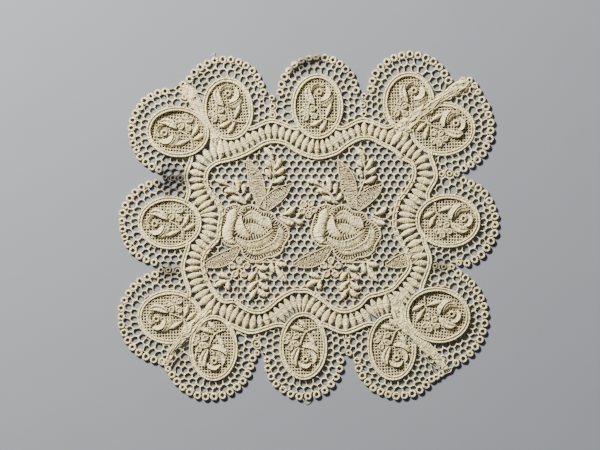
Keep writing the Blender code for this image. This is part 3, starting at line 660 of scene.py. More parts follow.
def fine_mesh(shape, medallion, outline, rng):
    """The square mesh that fills a medallion, threads passing over and under each other."""
    along = unit(medallion.out_deg)
    long_half = medallion.half_long * MM_PER_PX - MESH_INSET_MM
    short_half = medallion.half_short * MM_PER_PX - MESH_INSET_MM
    pitch = MESH_PITCH_PX * MM_PER_PX
    for direction, other, half, limit in ((along, turned(along), long_half, short_half),
                                          (turned(along), along, short_half, long_half)):
        rows = int(limit / pitch)
        for row in range(-rows, rows + 1):
            reach = half * math.sqrt(max(0.0, 1 - (row * pitch / limit) ** 2))
            if reach < pitch:
                continue
            count = 2 * int(reach / pitch) + 3
            sway = row * pitch + wobble(count, 0.08, rng)
            line = (middle_of(medallion) + np.outer(np.linspace(-reach, reach, count), direction)
                    + np.outer(sway, other))
            over = 0.28 + 0.10 * np.where((np.arange(count) + row) % 2 == 0, 1.0, -1.0)
            wide = 0.27 * (1 + wobble(count, 0.1, rng, 1))
            kept = on_cloth(line, outline)
            if kept.sum() > 3:
                sweep(shape, line[kept], FINE_THREAD, wide[kept], 0.42, over[kept])


def to_plan(medallion, points):
    """Spray coordinates, outwards and leftwards from the rose's eye, to mm."""
    along = unit(medallion.spray_deg)
    across = turned(along) * (-1 if medallion.mirrored else 1)
    local = np.array(points, dtype=float).reshape(-1, 2) * MM_PER_PX
    return plan((medallion.eye_x, medallion.eye_y)) + local[:, :1] * along + local[:, 1:] * across


def ringed_petal(shape, heart, place, kind, rng):
    toward = place - heart
    direction = math.degrees(math.atan2(toward[1], toward[0]))
    for outer, thick, top, sides in kind.rings:
        ring(shape, place, outer, thick, top, rng, sides, kind.stretch, direction)
    satin(shape, np.array((heart, 0.5 * (heart + place), place)), kind.widths, kind.top, rng)


def spray(shape, medallion, rng):
    """The raised rose, floret, stem and leaves in a medallion."""
    for part in SPRAY_LEAVES:
        padded(shape, part, to_plan(medallion, part.points), rng)
    for part in SPRAY_ROSE:
        profile = petal_profile(part.lip, -1 if medallion.mirrored else 1)
        padded(shape, part, to_plan(medallion, part.points), rng, 0.45, 0.25, profile)
    eye = to_plan(medallion, (0, 0))[0]
    ring(shape, eye, 1.6, 0.9, 1.7, rng)
    for turn in range(0, 360, 40):
        ring(shape, eye + unit(turn) * 1.95, 0.42, 0.38, 0.9, rng, 6)
    heart = to_plan(medallion, SPRAY_FLOWER)[0]
    for place in to_plan(medallion, SPRAY_PETALS):
        ringed_petal(shape, heart, place, SPRAY_PETAL, rng)
    sweep(shape, spaced(smooth_line(to_plan(medallion, SPRAY_STEM)), 0.7), THREAD, 0.34, 1.05, 0.35)


def floret(shape, flower, rng):
    """A small flower of ringed petals."""
    heart = middle_of(flower)
    for petal in range(flower.petals):
        direction = flower.first_deg + 360.0 * petal / flower.petals
        ringed_petal(shape, heart, heart + unit(direction) * flower.reach * MM_PER_PX, FLORET_PETAL, rng)
    ring(shape, heart, 0.8, 0.7, 1.3, rng, 12)


def bar_row(shape, line, half_length, rng, top):
    """Short bars side by side across a line, with slits between them."""
    line = spaced(line, LADDER_PITCH_MM)
    for spot, normal in zip(line, left_normals(line)):
        reach = normal * half_length * (1 + rng.normal() * 0.08)
        lean = turned(normal) * rng.normal() * 0.06
        sweep(shape, np.array((spot - reach - lean, spot, spot + reach + lean)), FINE_THREAD, 0.25, top, 0.05)


def open_leaf(shape, part, rng, lean_share=0.0, slit=None):
    """A leaf of spaced cross stitches inside a corded edge, with or without a slit along it."""
    line = spaced(smooth_line(plan(part.points)), 0.5)
    half = blurred(spread_widths(part.widths, len(line)), 3)
    normals = left_normals(line)
    for side in (-1, 1):
        sweep(shape, line + normals * (half * side)[:, None], THREAD, 0.27, part.top, 0.05)
    length = running_length(line)
    for mark in np.arange(0.5, length[-1] - 0.2, LEAF_PITCH_MM):
        rows = (line[:, 0], line[:, 1], normals[:, 0], normals[:, 1], half)
        x, y, normal_x, normal_y, reach = [np.interp(mark, length, row) for row in rows]
        if reach < 0.5:
            continue
        normal = np.array((normal_x, normal_y))
        forward = -turned(normal)
        lean = forward * (lean_share * reach + rng.normal() * 0.10)
        spans = ((-1.0, slit[0]), (slit[1], 1.0)) if slit else ((-1.0, 1.0),)
        for low, high in spans:
            marks = np.linspace(low, high, 9)[:, None]
            cross = (x, y) + (normal * reach + lean) * marks + forward * rng.normal(size=(9, 1)) * 0.12
            rest = 0.06 + rng.random(9) * 0.52
            sweep(shape, cross, FINE_THREAD, 0.20 + rng.random(9) * 0.22, 0.55 * part.top, rest)
    for place in slit or ():
        middle = line + normals * (half * place)[:, None]
        sweep(shape, middle[3:-2], FINE_THREAD, 0.2, 0.8 * part.top, 0.1)


def crumple(x, y):
    """Layered noise at each place, from about -1 to 1."""
    values = [noise.fractal(Vector((one, two, 0.5)), 0.6, 2.1, 3) for one, two in zip(x.flat, y.flat)]
    return np.reshape(values, x.shape)


def seam(shape, one, rng):
    """A turned end of lace, folded along the seam, with squashed net rings and whip stitches over it."""
    line = spaced(smooth_line(plan(one.points)), 0.45)
    count = len(line)
    normals = left_normals(line)
    share = np.linspace(0.0, 1.0, count)
    ends = np.clip(np.minimum(share, 1 - share) * 16, 0.4, 1.0)
    half = spread_widths(one.widths, count) * ends * (1 + wobble(count, 0.07, rng, 4))
    across = np.linspace(-1.0, 1.0, 2 * SEAM_COLUMNS + 1)
    flat = line[:, None, :] + normals[:, None, :] * (across[None, :, None] * half[:, None, None])
    sideways = across[None, :] * half[:, None]
    along = np.broadcast_to(running_length(line)[:, None], sideways.shape)
    folds = crumple(along * 0.30, sideways * 1.1)
    lumps = crumple((flat[:, :, 0] + 40.0) * 0.55, (flat[:, :, 1] + 40.0) * 0.55)
    dome = (1 - np.abs(across) ** 2.6) ** 0.6
    crest = SEAM_CREST_MM * np.clip(half / FULL_SEAM_MM, 0.4, 1.0)[:, None]
    height = 0.45 + crest * dome[None, :] * (0.70 + 0.55 * folds + 0.35 * lumps)
    height = np.clip(height, 0.3, 2.2)
    upper = np.dstack((flat, height))
    lower = upper[:, [-1, 0]].copy()
    lower[:, :, 2] = 0.05
    rows = np.concatenate((upper, lower), axis=1)
    stitch = np.dstack((rows[:, :, 0] * 0.7 + rows[:, :, 1] * 0.7, rows[:, :, 2])).reshape(-1, 2)
    shape.add(rows.reshape(-1, 3), grid_faces(count, rows.shape[1], False), stitch)

    def level(row, side):
        """The seam's height at a row, some of its half-width to the side."""
        return height[row, np.rint((np.clip(side, -1.0, 1.0) + 1) * SEAM_COLUMNS).astype(int)]

    # Folded cords that wander along the seam
    for place in (-0.8, -0.48, -0.15, 0.2, 0.52, 0.8):
        sway = np.clip(place + wobble(count, 0.14, rng, 7), -0.95, 0.95)
        path = line + normals * (sway * half)[:, None]
        rest = blurred(level(np.arange(count), sway) - 0.3, 2)
        keep = slice(int(rng.integers(0, count // 4)), count - int(rng.integers(0, count // 4)), 2)
        sweep(shape, path[keep], THREAD, 0.24 * (1 + wobble(count, 0.2, rng))[keep], 0.72, rest[keep])
    # Squashed rings of net, caught in the folds
    turns = np.arange(12) * math.pi / 6
    for mark in range(4, count - 4, 8):
        side = rng.uniform(-0.8, 0.8)
        direction = unit(rng.uniform(0, 360))
        loop = (line[mark] + normals[mark] * side * half[mark]
                + np.outer(np.cos(turns) * rng.uniform(1.1, 1.6), direction)
                + np.outer(np.sin(turns) * rng.uniform(0.7, 1.1), turned(direction)))
        rest = level(mark, side) - 0.3 + 0.15 * np.sin(turns + rng.uniform(0, 6))
        sweep(shape, loop, FINE_THREAD, 0.24, 0.5, rest, closed=True)
    # Whip stitches
    sides = np.linspace(-1.05, 1.05, 8)
    mix = np.linspace(0.0, 1.0, 8)[:, None]
    for mark in range(3, count - 8, 11):
        end = min(mark + 3 + int(rng.integers(0, 4)), count - 1)
        path = line[mark] * (1 - mix) + line[end] * mix + np.outer(sides * half[mark], normals[mark])
        sweep(shape, path, FINE_THREAD, 0.19, 0.36, np.clip(level(mark, sides) - 0.16, 0.1, 2.2))


def whip_join(shape, line, rng):
    """Small stitches that hold a strip's cord down on the cloth beside it."""
    line = spaced(line, 3.4)
    marks = np.linspace(-1.0, 1.0, 5)
    for spot, normal in zip(line, left_normals(line)):
        lean = turned(normal) * (0.7 + rng.normal() * 0.35)
        reach = 1.2 + rng.random() * 0.5
        path = spot + np.outer(marks, normal * reach + lean) + rng.normal(size=2) * 0.2
        sweep(shape, path, FINE_THREAD, 0.22, 0.45, 0.6 + 1.0 * (1 - marks ** 2))


def net_edge(scallops):
    """Outer limit of a border's net: the arcs inside the picots, and a point inside each notch."""
    edge = []
    middle = plan((CENTRE_X_PX, CENTRE_Y_PX))[0]
    for scallop in scallops:
        radius = (scallop.radius - NET_INSET_PX) * MM_PER_PX
        for angle in np.linspace(scallop.first_deg, scallop.last_deg, 40):
            edge.append(middle_of(scallop) + radius * unit(angle))
        if scallop.valley is not None:
            valley = plan(scallop.valley)[0]
            inward = (middle - valley) / np.linalg.norm(middle - valley)
            edge.append(valley + inward * VALLEY_REACH_PX * MM_PER_PX)
    return edge


def join_line(join, side):
    line = plan(join)
    return line + left_normals(line) * side * GAP_MM / 2


def band_outline():
    right = join_line(RIGHT_JOIN, -1)[1:-1]
    left = join_line(LEFT_JOIN, 1)[1:-1]
    return np.vstack((net_edge(TOP_SCALLOPS), right, net_edge(BOTTOM_SCALLOPS), left[::-1]))


def ghosts_for(seeds, steps, region_test, pitch):
    """Mirror images of the seeds beyond the nearby boundary, and four far corners."""
    spots, distance = nearest_on(seeds, steps)
    near = distance < 1.25 * pitch
    mirrored = 2 * spots[near] - seeds[near]
    kept = []
    for point in mirrored[~region_test(mirrored)]:
        if all(np.hypot(*(point - other)) > 0.35 * pitch for other in kept):
            kept.append(point)
    low = seeds.min(axis=0) - 3 * pitch
    high = seeds.max(axis=0) + 3 * pitch
    return np.vstack((kept, low, (low[0], high[1]), high, (high[0], low[1])))


def relaxed(seeds, fixed, region_test, outline):
    """Moves the loose seeds to the middles of their cells a few times."""
    step = 1.1 * MM_PER_PX
    low = outline.min(axis=0)
    high = outline.max(axis=0)
    across, up = np.meshgrid(np.arange(low[0], high[0], step), np.arange(low[1], high[1], step))
    samples = np.column_stack((across.ravel(), up.ravel()))
    samples = samples[region_test(samples)]
    everything = np.vstack((seeds, fixed)) if len(fixed) else seeds
    for _ in range(RELAX_ROUNDS):
        distance = ((samples[:, None, :] - everything[None, :, :]) ** 2).sum(axis=2)
        owner = distance.argmin(axis=1)
        size = np.bincount(owner, minlength=len(everything))
        total = np.column_stack([np.bincount(owner, samples[:, axis], len(everything)) for axis in (0, 1)])
        change = (np.arange(len(everything)) < len(seeds)) & (size > 0)
        everything[change] = total[change] / size[change][:, None]
    return everything


def border_net(shape, outline, medallions, chains, rng):
    """The net of the scalloped border, in rows that follow the medallions."""
    pitch = CELL_PX * MM_PER_PX
    band_loop = smooth_line(plan(BAND_LOOP), 3, closed=True)
    rings = [line_round(one, 0.0, 60) for one in medallions]

    def region(points):
        test = inside(points, outline) & ~inside(points, band_loop)
        for line in rings:
            test &= ~inside(points, line)
        return test

    steps = segments([outline, band_loop] + rings, True)
    fixed = np.array([plan(spot)[0] for chain in chains for spot in chain])
    fixed = fixed[region(fixed)]
    rows = []
    for medallion in medallions:
        for row in range(6):
            line = line_round(medallion, (3.2 + row * CELL_ROW_PX) * MM_PER_PX)
            line = spaced(line, pitch, closed=True)
            if row % 2:
                line = 0.5 * (line + np.roll(line, -1, axis=0))
            rows.append(line[region(line)])
    rows = np.vstack(rows)
    _, room = nearest_on(rows, steps)
    kept = list(fixed)
    for point in rows[room >= 0.33 * pitch]:
        if all(np.hypot(*(point - other)) > 0.72 * pitch for other in kept):
            kept.append(point)
    loose = relaxed(np.array(kept[len(fixed):]), fixed, region, outline)
    net(shape, loose, ghosts_for(loose, steps, region, pitch), BORDER_BAR_MM, rng)


def motif_loops():
    """Outlines of the roses and of the open leaves, where no net lies."""
    loops = []
    for repeat in REPEATS:
        shift = (repeat * REPEAT_PX, 0.0)
        loops.append(plan(np.add(ROSE_OUTLINE, shift)))
        for part in OPEN_LEAVES + (VEINED_LEAF,):
            line = spaced(smooth_line(plan(np.add(part.points, shift))), 1.0)
            normals = left_normals(line) * spread_widths(part.widths, len(line))[:, None]
            loops.append(np.vstack((line + normals, (line - normals)[::-1])))
    return loops


def centre_net(shape, loop, rng):
    """The even net of the band's middle."""
    cells = []
    for row in range(-8, 24):
        for column in range(-14, 18):
            x = CENTRE_ROW_PHASE[0] + (column + 0.5 * (row % 2)) * CENTRE_CELL_PX
            y = CENTRE_ROW_PHASE[1] + row * CENTRE_ROW_PX
            cells.append((x + rng.normal() * 0.35, y + rng.normal() * 0.3))
    cells = plan(cells)
    _, room = nearest_on(cells, segments([loop], True))
    within = inside(cells, loop) | (room < NET_UNDER_CORD_MM)
    beyond = cells[~within]
    cells = cells[within]
    covered = np.zeros(len(cells), dtype=bool)
    for outline in motif_loops():
        covered |= inside(cells, outline)
    net(shape, cells[~covered], np.vstack((cells[covered], beyond)), CENTRE_BAR_MM, rng)


def picots(shape, scallops, loose, rng):
    """The row of little rings along the scallops, and the loose ones by the seams."""
    for scallop in scallops:
        radius = (scallop.radius - PICOT_INSET_PX) * MM_PER_PX
        step = (scallop.last_deg - scallop.first_deg) / (scallop.picots - 1)
        outer = min(max(abs(math.radians(step)) * radius * 0.5, 1.6), 1.85)
        for index in range(scallop.picots):
            direction = scallop.first_deg + index * step
            place = middle_of(scallop) + unit(direction) * (radius + rng.normal() * 0.12)
            size = outer * (1 + rng.normal() * 0.03)
            ring(shape, place, size, 1.1 + rng.normal() * 0.07, 1.05, rng, 16, 1.06, direction)
    for spot in plan(loose):
        ring(shape, spot, 1.6 + rng.normal() * 0.08, 1.15, 1.05, rng, 16, 1.1, rng.uniform(0, 180))


def creased_picots(shape, scallop, rng):
    """Picots pressed flat and shut, on top of the even ones."""
    radius = (scallop.radius - PICOT_INSET_PX) * MM_PER_PX
    for direction in CREASED_DEG:
        place = middle_of(scallop) + unit(direction) * radius
        ring(shape, place, 1.5, 1.3, 1.6, rng, 14, 1.35, direction + 75)


def reach_to(spots, normals, steps, otherwise, start=0.0):
    """How far each spot can go along its normal before it meets a cord."""
    marks = np.arange(0.4, 15.0, 0.2)
    reach = []
    for spot, normal in zip(spots, normals):
        _, distance = nearest_on(spot + normal * start + marks[:, None] * normal, steps)
        blocked = np.nonzero(distance < 0.55)[0]
        reach.append(marks[blocked[0]] + start if len(blocked) else otherwise)
    return np.array(reach)


def inner_part(stretch):
    """The stretch of the double cord round the middle between two of its points."""
    first, last = stretch
    loop = smooth_line(plan(INNER_CORD), closed=True)
    steps = len(loop) // len(INNER_CORD)
    count = (last - first) % len(INNER_CORD)
    return np.take(loop, np.arange(first * steps, (first + count) * steps + 1), axis=0, mode="wrap")


Spindle = namedtuple("Spindle", "node points widths top")


def plan_spindles():
    """Padded spindles between the inner cord and the outer cords, crushed where a seam runs in."""
    rng = np.random.default_rng(SEED + 5)
    pitch = SPINDLE_PITCH_PX * MM_PER_PX
    medallions = TOP_MEDALLIONS + RIGHT_MEDALLIONS + BOTTOM_MEDALLIONS + LEFT_MEDALLIONS
    rings = [ring_line(one) for one in medallions]
    barriers = [np.vstack((line, line[:1])) for line in rings]
    barriers += [into_rings(route, rings) for route in TOP_CORDS + RIGHT_CORDS + BOTTOM_CORDS + LEFT_CORDS]
    outer = segments(barriers, False)
    inner_loop = spaced(smooth_line(plan(INNER_CORD), closed=True), 0.5, closed=True)
    inner = segments([inner_loop], True)
    normals = left_normals(inner_loop, True)
    reach = np.minimum(reach_to(inner_loop, normals, outer, 8.0, 0.6), 8.0)
    middle = inner_loop + normals * (0.5 * reach)[:, None]
    middle = np.column_stack([blurred(values, 5, "wrap") for values in middle.T])
    spots = spaced(middle, pitch, closed=True)
    outwards = left_normals(spots, True)
    outward = np.minimum(reach_to(spots, outwards, outer, 3.6), 6.4) + 0.25
    inward = np.minimum(reach_to(spots, -outwards, inner, 3.6), 5.2) + 0.25
    seams = segments([plan(one.points) for one in LEFT_SEAMS + RIGHT_SEAMS], False)
    _, seam_room = nearest_on(spots, seams)
    in_band = inside(spots, band_outline())
    starts = spots - outwards * inward[:, None]
    ends = spots + outwards * outward[:, None]
    rooms = []
    for tips in (starts, ends):
        room = np.linalg.norm(tips - np.roll(tips, 1, axis=0), axis=1)
        rooms.append(np.clip(0.5 * (room + np.roll(room, -1)), 0.55 * pitch, 1.15 * pitch))
    made = []
    for index, (spot, normal) in enumerate(zip(spots, outwards)):
        crushed = seam_room[index] < 3.6
        slope = turned(normal) * rng.normal() * (0.9 if crushed else 0.12)
        room = np.linspace(rooms[0][index], rooms[1][index], len(SPINDLE_WIDTHS))
        widths = np.array(SPINDLE_WIDTHS) * 0.5 * room * (1 + rng.normal() * 0.05)
        if crushed:
            widths = widths * rng.uniform(0.95, 1.15)
        if in_band[index]:
            node = "centre_band"
        else:
            node = "left_strip" if spot[0] < 0 else "right_strip"
        top = rng.uniform(1.5, 2.1) if crushed else 1.4 + rng.normal() * 0.12
        points = np.array((starts[index] - slope, spot, ends[index] + slope))
        made.append(Spindle(node, points, widths, top))
    return made


def middle_motifs(shape, loop, rng):
    """Roses, leaves and sprays of the middle net, for each repeat that the band shows."""
    for repeat in REPEATS:
        shift = (repeat * REPEAT_PX, 0.0)

        def here(points):
            return plan(np.add(points, shift))

        def shows(points):
            return bool(inside(here(points), loop).all())

        def moved(part):
            return part._replace(points=np.add(part.points, shift))

        if shows(ROSE_OUTLINE[4:20]):
            for part in ROSE_SATIN:
                padded(shape, part, here(part.points), rng, 0.5, 0.08, petal_profile(part.lip))
            edge = spaced(smooth_line(here(ROSE_OUTLINE), 6, closed=True), 0.7, closed=True)
            sweep(shape, edge, THREAD, 0.5 + wobble(len(edge), 0.03, rng), 1.25, 0.03, closed=True)
            bars = edge - left_normals(edge, True) * 1.1
            bar_row(shape, np.vstack((bars, bars[:1])), 1.1, rng, 1.1)
            for ladder in ROSE_LADDERS:
                bar_row(shape, smooth_line(here(ladder)), 1.6, rng, 1.15)
        for part, lean in zip(OPEN_LEAVES, OPEN_LEAF_LEAN):
            if shows(part.points):
                open_leaf(shape, moved(part), rng, lean)
        if shows(VEINED_LEAF.points[1:]) or repeat == 2:
            open_leaf(shape, moved(VEINED_LEAF), rng, slit=LEAF_SLIT)
        for leaflet in LEAFLETS:
            if shows(leaflet):
                tip, base = here(leaflet)
                spine = np.array((tip, 0.45 * tip + 0.55 * base + turned(base - tip) * 0.08, base))
                padded(shape, LEAFLET, spine, rng, 0.45, 0.35)
        for stem in STEMS:
            if shows(stem):
                sweep(shape, spaced(smooth_line(here(stem)), 0.8), THREAD, 0.42, 1.15, 0.1)
        for flower in FLORETS:
            if shows(((flower.x, flower.y),)):
                floret(shape, flower._replace(x=flower.x + shift[0]), rng)


STRAY_THREADS = (
    ((214.8, 57), (214.2, 54.6), (215.2, 52)), ((214.4, 55.4), (213.2, 54.6), (213, 52.8)),
    ((303, 399), (306, 403), (311, 402)),
)
FRAYED_ENDS = (
    ((446, 366), (452, 372)), ((444, 368), (450, 373)), ((442, 368), (448, 374.6)),
    ((440, 369), (441, 377)), ((436, 366), (441, 375)), ((430, 364), (440, 371.6)),
    ((432, 369), (438, 379.4)), ((428, 360), (437, 367)),
)


def stray_thread(shape, points):
    """A fine thread that sinks from the lace to the floor."""
    line = spaced(smooth_line(plan(points)), 0.5)
    sweep(shape, line, FINE_THREAD, 0.14, 0.25, np.linspace(0.9, 0.05, len(line)))


# How far the colour goes towards the deeper tone in the thread's pits and grooves: painted shade in the
# bump's hollows
SHADE = 0.62
# The stains' dark colour, also used for the painted shade of the sagging net
STAIN_AND_SHADE_COLOUR = (0.034, 0.029, 0.021, 1.0)


def new_node(tree, kind, sockets=(), **settings):
    """A shader node with its settings, and with a value or a link on each socket that is named."""
    node = tree.nodes.new("ShaderNode" + kind)
    for name, value in settings.items():
        setattr(node, name, value)
    for socket, value in sockets:
        if isinstance(value, bpy.types.NodeSocket):
            tree.links.new(value, node.inputs[socket])
        else:
            node.inputs[socket].default_value = value
    return node


def scaled(tree, value, factor, added=0.0):
    """A value times a factor, plus another value."""
    sockets = ((0, value), (1, factor), (2, added))
    return new_node(tree, "Math", sockets, operation="MULTIPLY_ADD").outputs[0]


def mix_colour(tree, factor, first, second):
    return new_node(tree, "Mix", ((0, factor), (6, first), (7, second)), data_type="RGBA").outputs[2]


def noise_node(tree, vector, scale, detail=3.0):
    sockets = (("Vector", vector), ("Scale", scale), ("Detail", detail))
    return new_node(tree, "TexNoise", sockets).outputs["Fac"]


def spread(tree, value, low, high, start=0.0, end=1.0):
    """Stretches a value so that low becomes the start and high becomes the end."""
    sockets = (("Value", value), ("From Min", low), ("From Max", high), ("To Min", start), ("To Max", end))
    return new_node(tree, "MapRange", sockets).outputs["Result"]


def darker(colour, tones):
    return tuple(channel * tone for channel, tone in zip(colour, tones)) + (1.0,)


def new_material(name, roughness):
    """A material with its nodes, its shader and its object coordinates."""
    material = bpy.data.materials.new(name)
    material.use_nodes = True
    tree = material.node_tree
    shader = tree.nodes["Principled BSDF"]
    shader.inputs["Roughness"].default_value = roughness
    return material, tree, shader, new_node(tree, "TexCoord").outputs["Object"]


def cotton_material(name, light, dark, shade_free_height):
    """Matt cotton: blotchy cream, stitch lines from the stitch coordinates, fuzz, painted shade in pits,
    grooves and low parts, and old stains with a patch of painted shade.
    """
    material, tree, shader, place = new_material(name, 0.82)
    for socket, value in (("Sheen Weight", 0.25), ("Sheen Roughness", 0.5), ("Specular IOR Level", 0.3)):
        shader.inputs[socket].default_value = value
    stitch = new_node(tree, "UVMap", uv_map="stitch").outputs["UV"]
    stretched = ((0, stitch), (1, (1.35, 0.35, 0.0)))
    lines = new_node(tree, "VectorMath", stretched, operation="MULTIPLY").outputs[0]
    grooves = spread(tree, noise_node(tree, lines, 1.0, 2.0), 0.36, 0.62, SHADE, 0.0)
    pits = spread(tree, noise_node(tree, place, 1000.0), 0.38, 0.62, SHADE, 0.0)
    fibre = noise_node(tree, place, 2400.0)
    colour = mix_colour(tree, spread(tree, noise_node(tree, place, 55.0), 0.3, 0.7), dark, light)
    # Painted shade: where the bump has pits and grooves, the colour is darker too
    for shade in (pits, grooves):
        colour = mix_colour(tree, shade, colour, darker(dark, (0.60, 0.575, 0.52)))
    # Painted shade: the colour darkens towards the bottom of the thread, from none at the material's top
    # height to most at height 0
    above = new_node(tree, "SeparateXYZ", ((0, place),)).outputs["Z"]
    painted_low_shade = spread(tree, above, shade_free_height, 0.0, 0.0, 0.85)
    colour = mix_colour(tree, painted_low_shade, colour, darker(dark, (0.40, 0.35, 0.27)))
    # Old stains, and painted shade on the sagging net, darken the colour towards one dark brown
    stain_and_shade = new_node(tree, "Attribute", attribute_name="stain_and_shade").outputs["Fac"]
    colour = mix_colour(tree, stain_and_shade, colour, STAIN_AND_SHADE_COLOUR)
    tree.links.new(colour, shader.inputs["Base Color"])
    relief = scaled(tree, grooves, -0.6 / SHADE, scaled(tree, pits, -0.5 / SHADE, scaled(tree, fibre, 0.5)))
    bump = new_node(tree, "Bump", (("Strength", 1.0), ("Distance", 0.0004), ("Height", relief)))
    tree.links.new(bump.outputs["Normal"], shader.inputs["Normal"])
    return material


def floor_material():
    material, tree, shader, place = new_material("plain_floor", 0.9)
    grain = noise_node(tree, place, 30.0, 2.0)
    colour = mix_colour(tree, grain, (0.158, 0.172, 0.205, 1.0), (0.168, 0.183, 0.217, 1.0))
    tree.links.new(colour, shader.inputs["Base Color"])
    return material


# Old stains and greyed threads, and painted shade where the net sags near the creased picots, at (295, 71):
# place, radius in pixels, strength
STAINS_AND_SAG_SHADE = (
    (172, 180, 17, 0.97), (170, 270, 11, 0.75), (441, 265, 9, 0.70), (306, 64, 10, 0.80),
    (317, 59, 8, 0.74), (295, 71, 7, 0.68), (200, 80, 8, 0.35), (352, 72, 9, 0.35),
)


def stain_and_shade_of(points):
    """How stained the cloth is at each point, from 0 to 1, with the painted shade of the sagging net counted
    in.
    """
    total = np.zeros(len(points))
    for x, y, radius, strength in STAINS_AND_SAG_SHADE:
        away = np.linalg.norm(points[:, :2] - plan((x, y)), axis=1) / (radius * MM_PER_PX)
        total = np.maximum(total, strength * np.clip(2.0 - 1.6 * away, 0.0, 1.0))
    return total


def make_object(name, shape, material):
    """Turns a shape into a smooth-shaded mesh object with its stitch map and its values of stain and painted
    shade.
    """
    points = np.vstack(shape.points)
    mesh = bpy.data.meshes.new(name)
    mesh.from_pydata((points * METRES_PER_MM).tolist(), [], shape.faces)
    stitch = np.vstack(shape.stitch)
    corners = np.zeros(len(mesh.loops), dtype=np.int32)
    mesh.loops.foreach_get("vertex_index", corners)
    layer = mesh.uv_layers.new(name="stitch")
    layer.data.foreach_set("uv", stitch[corners].astype(np.float32).ravel())
    attribute = mesh.attributes.new("stain_and_shade", "FLOAT", "POINT")
    attribute.data.foreach_set("value", stain_and_shade_of(points).astype(np.float32))
    work = bmesh.new()
    work.from_mesh(mesh)
    bmesh.ops.recalc_face_normals(work, faces=work.faces[:])
    work.to_mesh(mesh)
    work.free()
    mesh.polygons.foreach_set("use_smooth", np.ones(len(mesh.polygons), dtype=bool))
    mesh.materials.append(material)
    piece = bpy.data.objects.new(name, mesh)
    bpy.context.scene.collection.objects.link(piece)
    return piece


def dress(node, parts):
    pieces = [make_object(name, shape, material) for name, shape, material in parts]
    for piece in pieces:
        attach(piece, "root")
        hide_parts(node)


GROUND = cotton_material("cotton_net", (0.90, 0.81, 0.51, 1.0), (0.74, 0.655, 0.385, 1.0), 0.0011)
SATIN = cotton_material("cotton_satin", (0.90, 0.815, 0.52, 1.0), (0.74, 0.66, 0.395, 1.0), 0.0019)


Border = namedtuple("Border", "scallops medallions ring_tops cords chains loose_picots stretches")


def ground_of(border, outline, cut, loop, rng):
    """Net, medallions and double cords; a cut outline ends the medallions' threads at the seams."""
    ground = Shape()
    border_net(ground, outline, border.medallions, border.chains, rng)
    if loop is not None:
        centre_net(ground, loop, rng)
    for medallion, ring_top in zip(border.medallions, border.ring_tops):
        medallion_ring(ground, medallion, cut, rng, ring_top)
        fine_mesh(ground, medallion, cut, rng)
    for route in border.cords:
        double_cord(ground, into_rings(route, [ring_line(one) for one in border.medallions]), rng)
    for stretch in border.stretches:
        double_cord(ground, inner_part(stretch), rng, top=1.6)
    return ground


def edging_of(border, rng):
    """Picots, and the chains of little rings."""
    edging = Shape()
    picots(edging, border.scallops, border.loose_picots, rng)
    for chain in border.chains:
        for spot in plan(chain):
            ring(edging, spot, 1.45 + rng.normal() * 0.05, 0.85, 1.1, rng, 14)
    return edging


def relief_of(border, node, rng):
    """Padded spindles, and the medallions' sprays."""
    relief = Shape()
    for one in SPINDLES:
        if one.node == node:
            satin(relief, one.points, one.widths, one.top, rng)
    for medallion in border.medallions:
        spray(relief, medallion, rng)
    return relief


def make_band(border):
    rng = np.random.default_rng(SEED)
    outline = band_outline()
    loop = smooth_line(plan(INNER_CORD), 4, closed=True)
    ground = ground_of(border, outline, outline, loop, rng)
    edging = edging_of(border, rng)
    relief = relief_of(border, "centre_band", rng)
    roses = Shape()
    middle_motifs(roses, loop, rng)
    creased_picots(edging, TOP_SCALLOPS[1], rng)
    for points in STRAY_THREADS:
        stray_thread(edging, points)
    for start, end in FRAYED_ENDS:
        stray_thread(edging, (start, 0.5 * np.add(start, end) + rng.normal(size=2) * 0.8, end))
    dress("centre_band", (
        ("band_ground", ground, GROUND), ("band_picots", edging, GROUND),
        ("band_sprays_and_spindles", relief, SATIN), ("band_roses", roses, SATIN),
    ))


def make_strip(node, border, tips, join, seams, side, seed):
    rng = np.random.default_rng(seed)
    join_side = np.vstack((plan(tips[0]), join_line(join, side), plan(tips[1])))
    outline = np.vstack((net_edge(border.scallops), join_side[::-side]))
    ground = ground_of(border, outline, None, None, rng)
    edging = edging_of(border, rng)
    relief = relief_of(border, node, rng)
    sewn = Shape()
    for one in seams:
        seam(sewn, one, rng)
    whip_join(sewn, inner_part(border.stretches[0])[24:-24], rng)
    dress(node, (
        (node + "_ground", ground, GROUND), (node + "_picots", edging, GROUND),
        (node + "_sprays_and_spindles", relief, SATIN), (node + "_seams", sewn, GROUND),
    ))


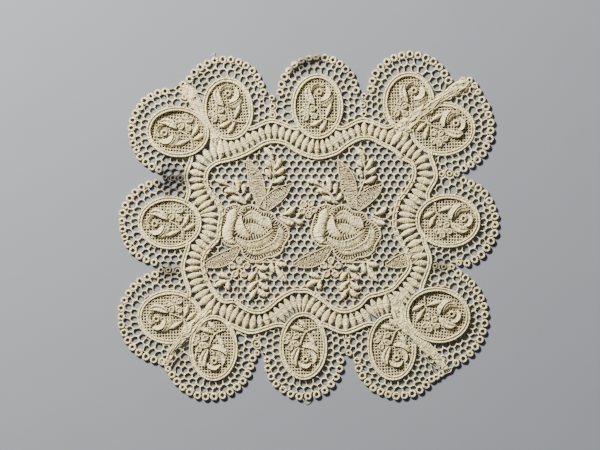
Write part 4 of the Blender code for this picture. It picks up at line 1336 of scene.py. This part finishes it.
def make_stage():
    """Pale floor, a broad key light from the upper left, soft fill, and a camera straight above."""
    bpy.ops.mesh.primitive_plane_add(size=4.0, location=(0.0, 0.0, -0.00005))
    floor = bpy.context.object
    floor.name = "floor"
    floor.data.materials.append(floor_material())
    lights = (
        ("key", (-0.58, 0.72, 0.52), 0.20, 60.0, (1.0, 0.955, 0.86)),
        ("fill", (0.75, -0.35, 0.75), 0.8, 0.9, (0.97, 0.98, 1.0)),
    )
    for name, place, size, power, colour in lights:
        data = bpy.data.lights.new(name, "AREA")
        data.shape = "DISK"
        data.size = size
        data.energy = power
        data.color = colour
        lamp = bpy.data.objects.new(name, data)
        lamp.location = place
        lamp.rotation_mode = "QUATERNION"
        lamp.rotation_quaternion = (-Vector(place)).to_track_quat("-Z", "Y")
        bpy.context.scene.collection.objects.link(lamp)
    world = bpy.data.worlds.new("studio")
    world.use_nodes = True
    back = world.node_tree.nodes["Background"]
    back.inputs["Color"].default_value = (0.93, 0.95, 1.0, 1.0)
    back.inputs["Strength"].default_value = 0.08
    bpy.context.scene.world = world

    eye_height = 1.5
    data = bpy.data.cameras.new("camera")
    data.sensor_width = 36.0
    data.lens = data.sensor_width * eye_height / (PICTURE_WIDTH_PX * MM_PER_PX * METRES_PER_MM)
    data.clip_end = 20.0
    camera = bpy.data.objects.new("camera", data)
    centre = plan((PICTURE_WIDTH_PX / 2, PICTURE_HEIGHT_PX / 2))[0] * METRES_PER_MM
    camera.location = (centre[0], centre[1], eye_height)
    bpy.context.scene.collection.objects.link(camera)
    bpy.context.scene.camera = camera


SPINDLES = plan_spindles()
make_stage()
make_band(Border(TOP_SCALLOPS + BOTTOM_SCALLOPS, TOP_MEDALLIONS + BOTTOM_MEDALLIONS, BAND_RING_TOPS,
                 TOP_CORDS + BOTTOM_CORDS, CHAINS[:2] + CHAINS[4:6], LOOSE_BAND_PICOTS,
                 (TOP_STRETCH, BOTTOM_STRETCH)))
make_strip("left_strip", Border(LEFT_SCALLOPS, LEFT_MEDALLIONS, LEFT_RING_TOPS, LEFT_CORDS, CHAINS[2:4],
                                LOOSE_LEFT_PICOTS, (LEFT_STRETCH,)),
           LEFT_TIPS, LEFT_JOIN, LEFT_SEAMS, -1, SEED + 1)
make_strip("right_strip", Border(RIGHT_SCALLOPS, RIGHT_MEDALLIONS, RIGHT_RING_TOPS, RIGHT_CORDS, CHAINS[6:8],
                                 LOOSE_RIGHT_PICOTS, (RIGHT_STRETCH,)),
           RIGHT_TIPS, RIGHT_JOIN, RIGHT_SEAMS, 1, SEED + 2)
